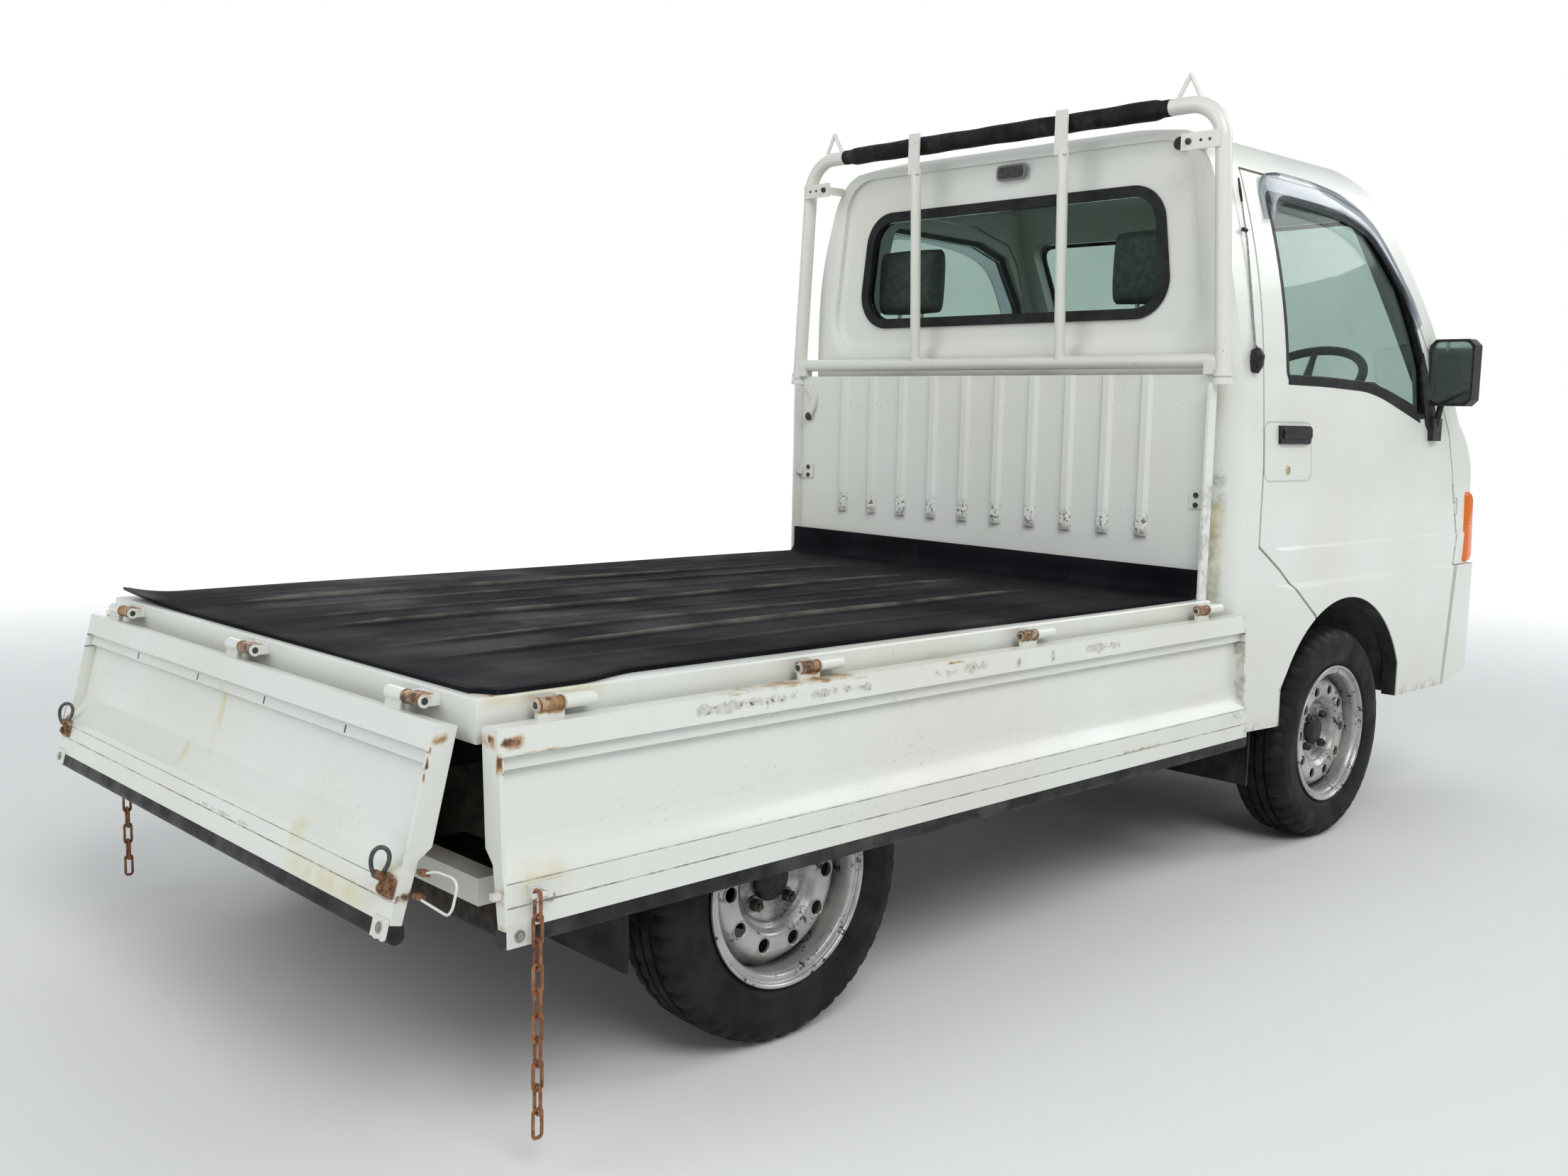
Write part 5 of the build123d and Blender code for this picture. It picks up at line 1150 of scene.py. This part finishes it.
def make_latches(normal):
    """End plates, ring hooks on bolted brackets, and the wire bails at the tailgate's ends."""
    plates, screws, brackets, hooks, tabs, bails = (Build() for _ in range(6))
    plate = rounded([(-0.02, 0.015), (0.02, 0.015), (0.02, -0.011), (0.012, -0.0155), (0.004, -0.0125),
                     (-0.006, -0.016), (-0.014, -0.013), (-0.02, -0.015)], 0.003)
    bracket = rounded([(-0.019, -0.015), (0.019, -0.015), (0.019, 0.012), (0.006, 0.016), (-0.019, 0.016)], 0.004)
    wire = rounded([(0.218, 0.66), (0.209, 0.69), (0.208, 0.73), (0.215, 0.7415), (0.245, 0.7415),
                    (0.256, 0.734), (0.252, 0.66)], 0.01, 4, closed=False)
    down = (tail_point(0, 1, 0) - tail_point(0, 0, 0)).normalized()
    across = (normal * 0.8 + Vector((0, 1, 0)) * 0.6).normalized()
    for side, _ in SIDES:
        edge = side * 0.648
        knuckle_y = edge - side * 0.034
        place = facing(tail_point(edge - side * 0.021, 0.3005, 0.0284), normal)
        plates.prism(plate, place, 0.0022, 0.0008)
        head = shifted(place, 0, 0.001, 0.0022)
        screws.disc(0.008, 24, head, 0.0014, 0.0006)
        screws.disc(0.0048, 20, shifted(head, 0, 0, 0.0014), 0.0022, 0.001)
        # bracket with two bolts and a knuckle
        place = facing(tail_point(edge - side * 0.023, 0.244, 0.0284), normal)
        brackets.prism(bracket, place, 0.0045, 0.0012)
        for x, y in ((-0.01, -0.006), (0.0105, 0.001)):
            brackets.disc(0.0062, 6, shifted(place, x, y, 0.0045), 0.005, 0.0014, x * 90)
        brackets.tube([tail_point(edge - side * d, 0.233, 0.04) for d in (0.026, 0.042)], 0.0062, 14)
        brackets.tube([tail_point(knuckle_y, 0.236, 0.029), tail_point(knuckle_y, 0.233, 0.04)], 0.006, 10)
        # ring of bent rod that stands in the knuckle
        centre = tail_point(knuckle_y, 0.215, 0.042)
        hooks.tube([centre + down * 0.019 * sin(a) + across * 0.0115 * cos(a) * (1 - 0.2 * sin(a)) for a in turns(40)],
                   0.0031, 12, closed=True)
        # tabs and the wire bail
        for u in (0.218, 0.25):
            place = facing(tail_point(edge + side * 0.0094, u, -0.006), normal)
            tabs.prism(panel(0.0088, 0.004, 0.002), place, 0.012, 0.0015)
            tabs.disc(0.0035, 14, shifted(place, 0, 0, 0.0118), 0.002, 0.0008)
        bails.tube([tail_point(side * y, u, 0.0) for u, y in wire], 0.0019, 10)
    plates.piece("tail_end_plates", "frame_paint", "frame_paint", "tailgate", ["tailgate_latches"])
    for made, name, look in ((screws, "tail_end_screws", "zinc_steel"), (brackets, "hook_brackets", "rusty_steel"),
                             (hooks, "ring_hooks", "hook_steel"), (tabs, "bail_tabs", "rusty_steel"),
                             (bails, "wire_bails", "frame_paint")):
        made.piece(name, look, "frame_paint", "tailgate")


for make in (make_tyres, make_rims, make_mat, make_chains, make_steering_wheel, make_seats, make_sleeve,
             make_door_details, make_front_details, make_rear_wall, make_guard_details, make_gate_details):
    make()


# Floor and light
def make_floor():
    """A pale floor that brightens to white far from the truck."""
    bm = bmesh.new()
    bmesh.ops.create_grid(bm, x_segments=1, y_segments=1, size=60)
    mesh = bpy.data.meshes.new("floor")
    bm.to_mesh(mesh)
    bm.free()
    floor = link("floor", mesh)
    m = Nodes("floor")
    m.set(Base_Color=m.mix(m.noise(0.6), (0.78, 0.78, 0.77), (0.8, 0.8, 0.79)), Roughness=m.uneven(4, 0.75, 0.85, 3),
          Emission_Color=(1.0, 1.0, 1.0), Emission_Strength=m.band(m.reach(m.x, m.y), 2.6, 9.0, (0.0, 0.85)))
    mesh.materials.append(m.mat)


def make_world():
    """Soft bluish light from all round, behind a backdrop that the camera and the glass see as white."""
    world = bpy.data.worlds.new("world")
    bpy.context.scene.world = world
    world.use_nodes = True
    tree = world.node_tree
    tree.nodes.clear()
    out, soft, white, path, seen, mix = (tree.nodes.new("ShaderNode" + kind) for kind in (
        "OutputWorld", "Background", "Background", "LightPath", "Math", "MixShader"))
    soft.inputs[0].default_value, soft.inputs[1].default_value = (0.86, 0.93, 1.0, 1), 0.38
    white.inputs[0].default_value, white.inputs[1].default_value = (1, 1, 1, 1), 1.0
    seen.operation = "MAXIMUM"
    for a, b in ((path.outputs["Is Camera Ray"], seen.inputs[0]), (path.outputs["Is Transmission Ray"], seen.inputs[1]),
                 (seen.outputs[0], mix.inputs[0]), (soft.outputs[0], mix.inputs[1]), (white.outputs[0], mix.inputs[2]),
                 (mix.outputs[0], out.inputs[0])):
        tree.links.new(a, b)


def make_lights():
    for name, place, size, power in (
            ("key", (-2.5, -5.0, 5.5), 4.0, 235), ("fill", (-6.0, 1.5, 4.0), 5.0, 130),
            ("front", (5.0, -3.0, 4.5), 4.0, 130), ("far", (2.0, 6.0, 4.0), 5.0, 100)):
        light = bpy.data.lights.new(name, "AREA")
        light.shape, light.size, light.energy = "DISK", size, power
        obj = link(name, light)
        obj.location = place
        obj.rotation_euler = (Vector((0, 0, 0.6)) - Vector(place)).to_track_quat("-Z", "Y").to_euler()


make_floor()
make_world()
make_lights()
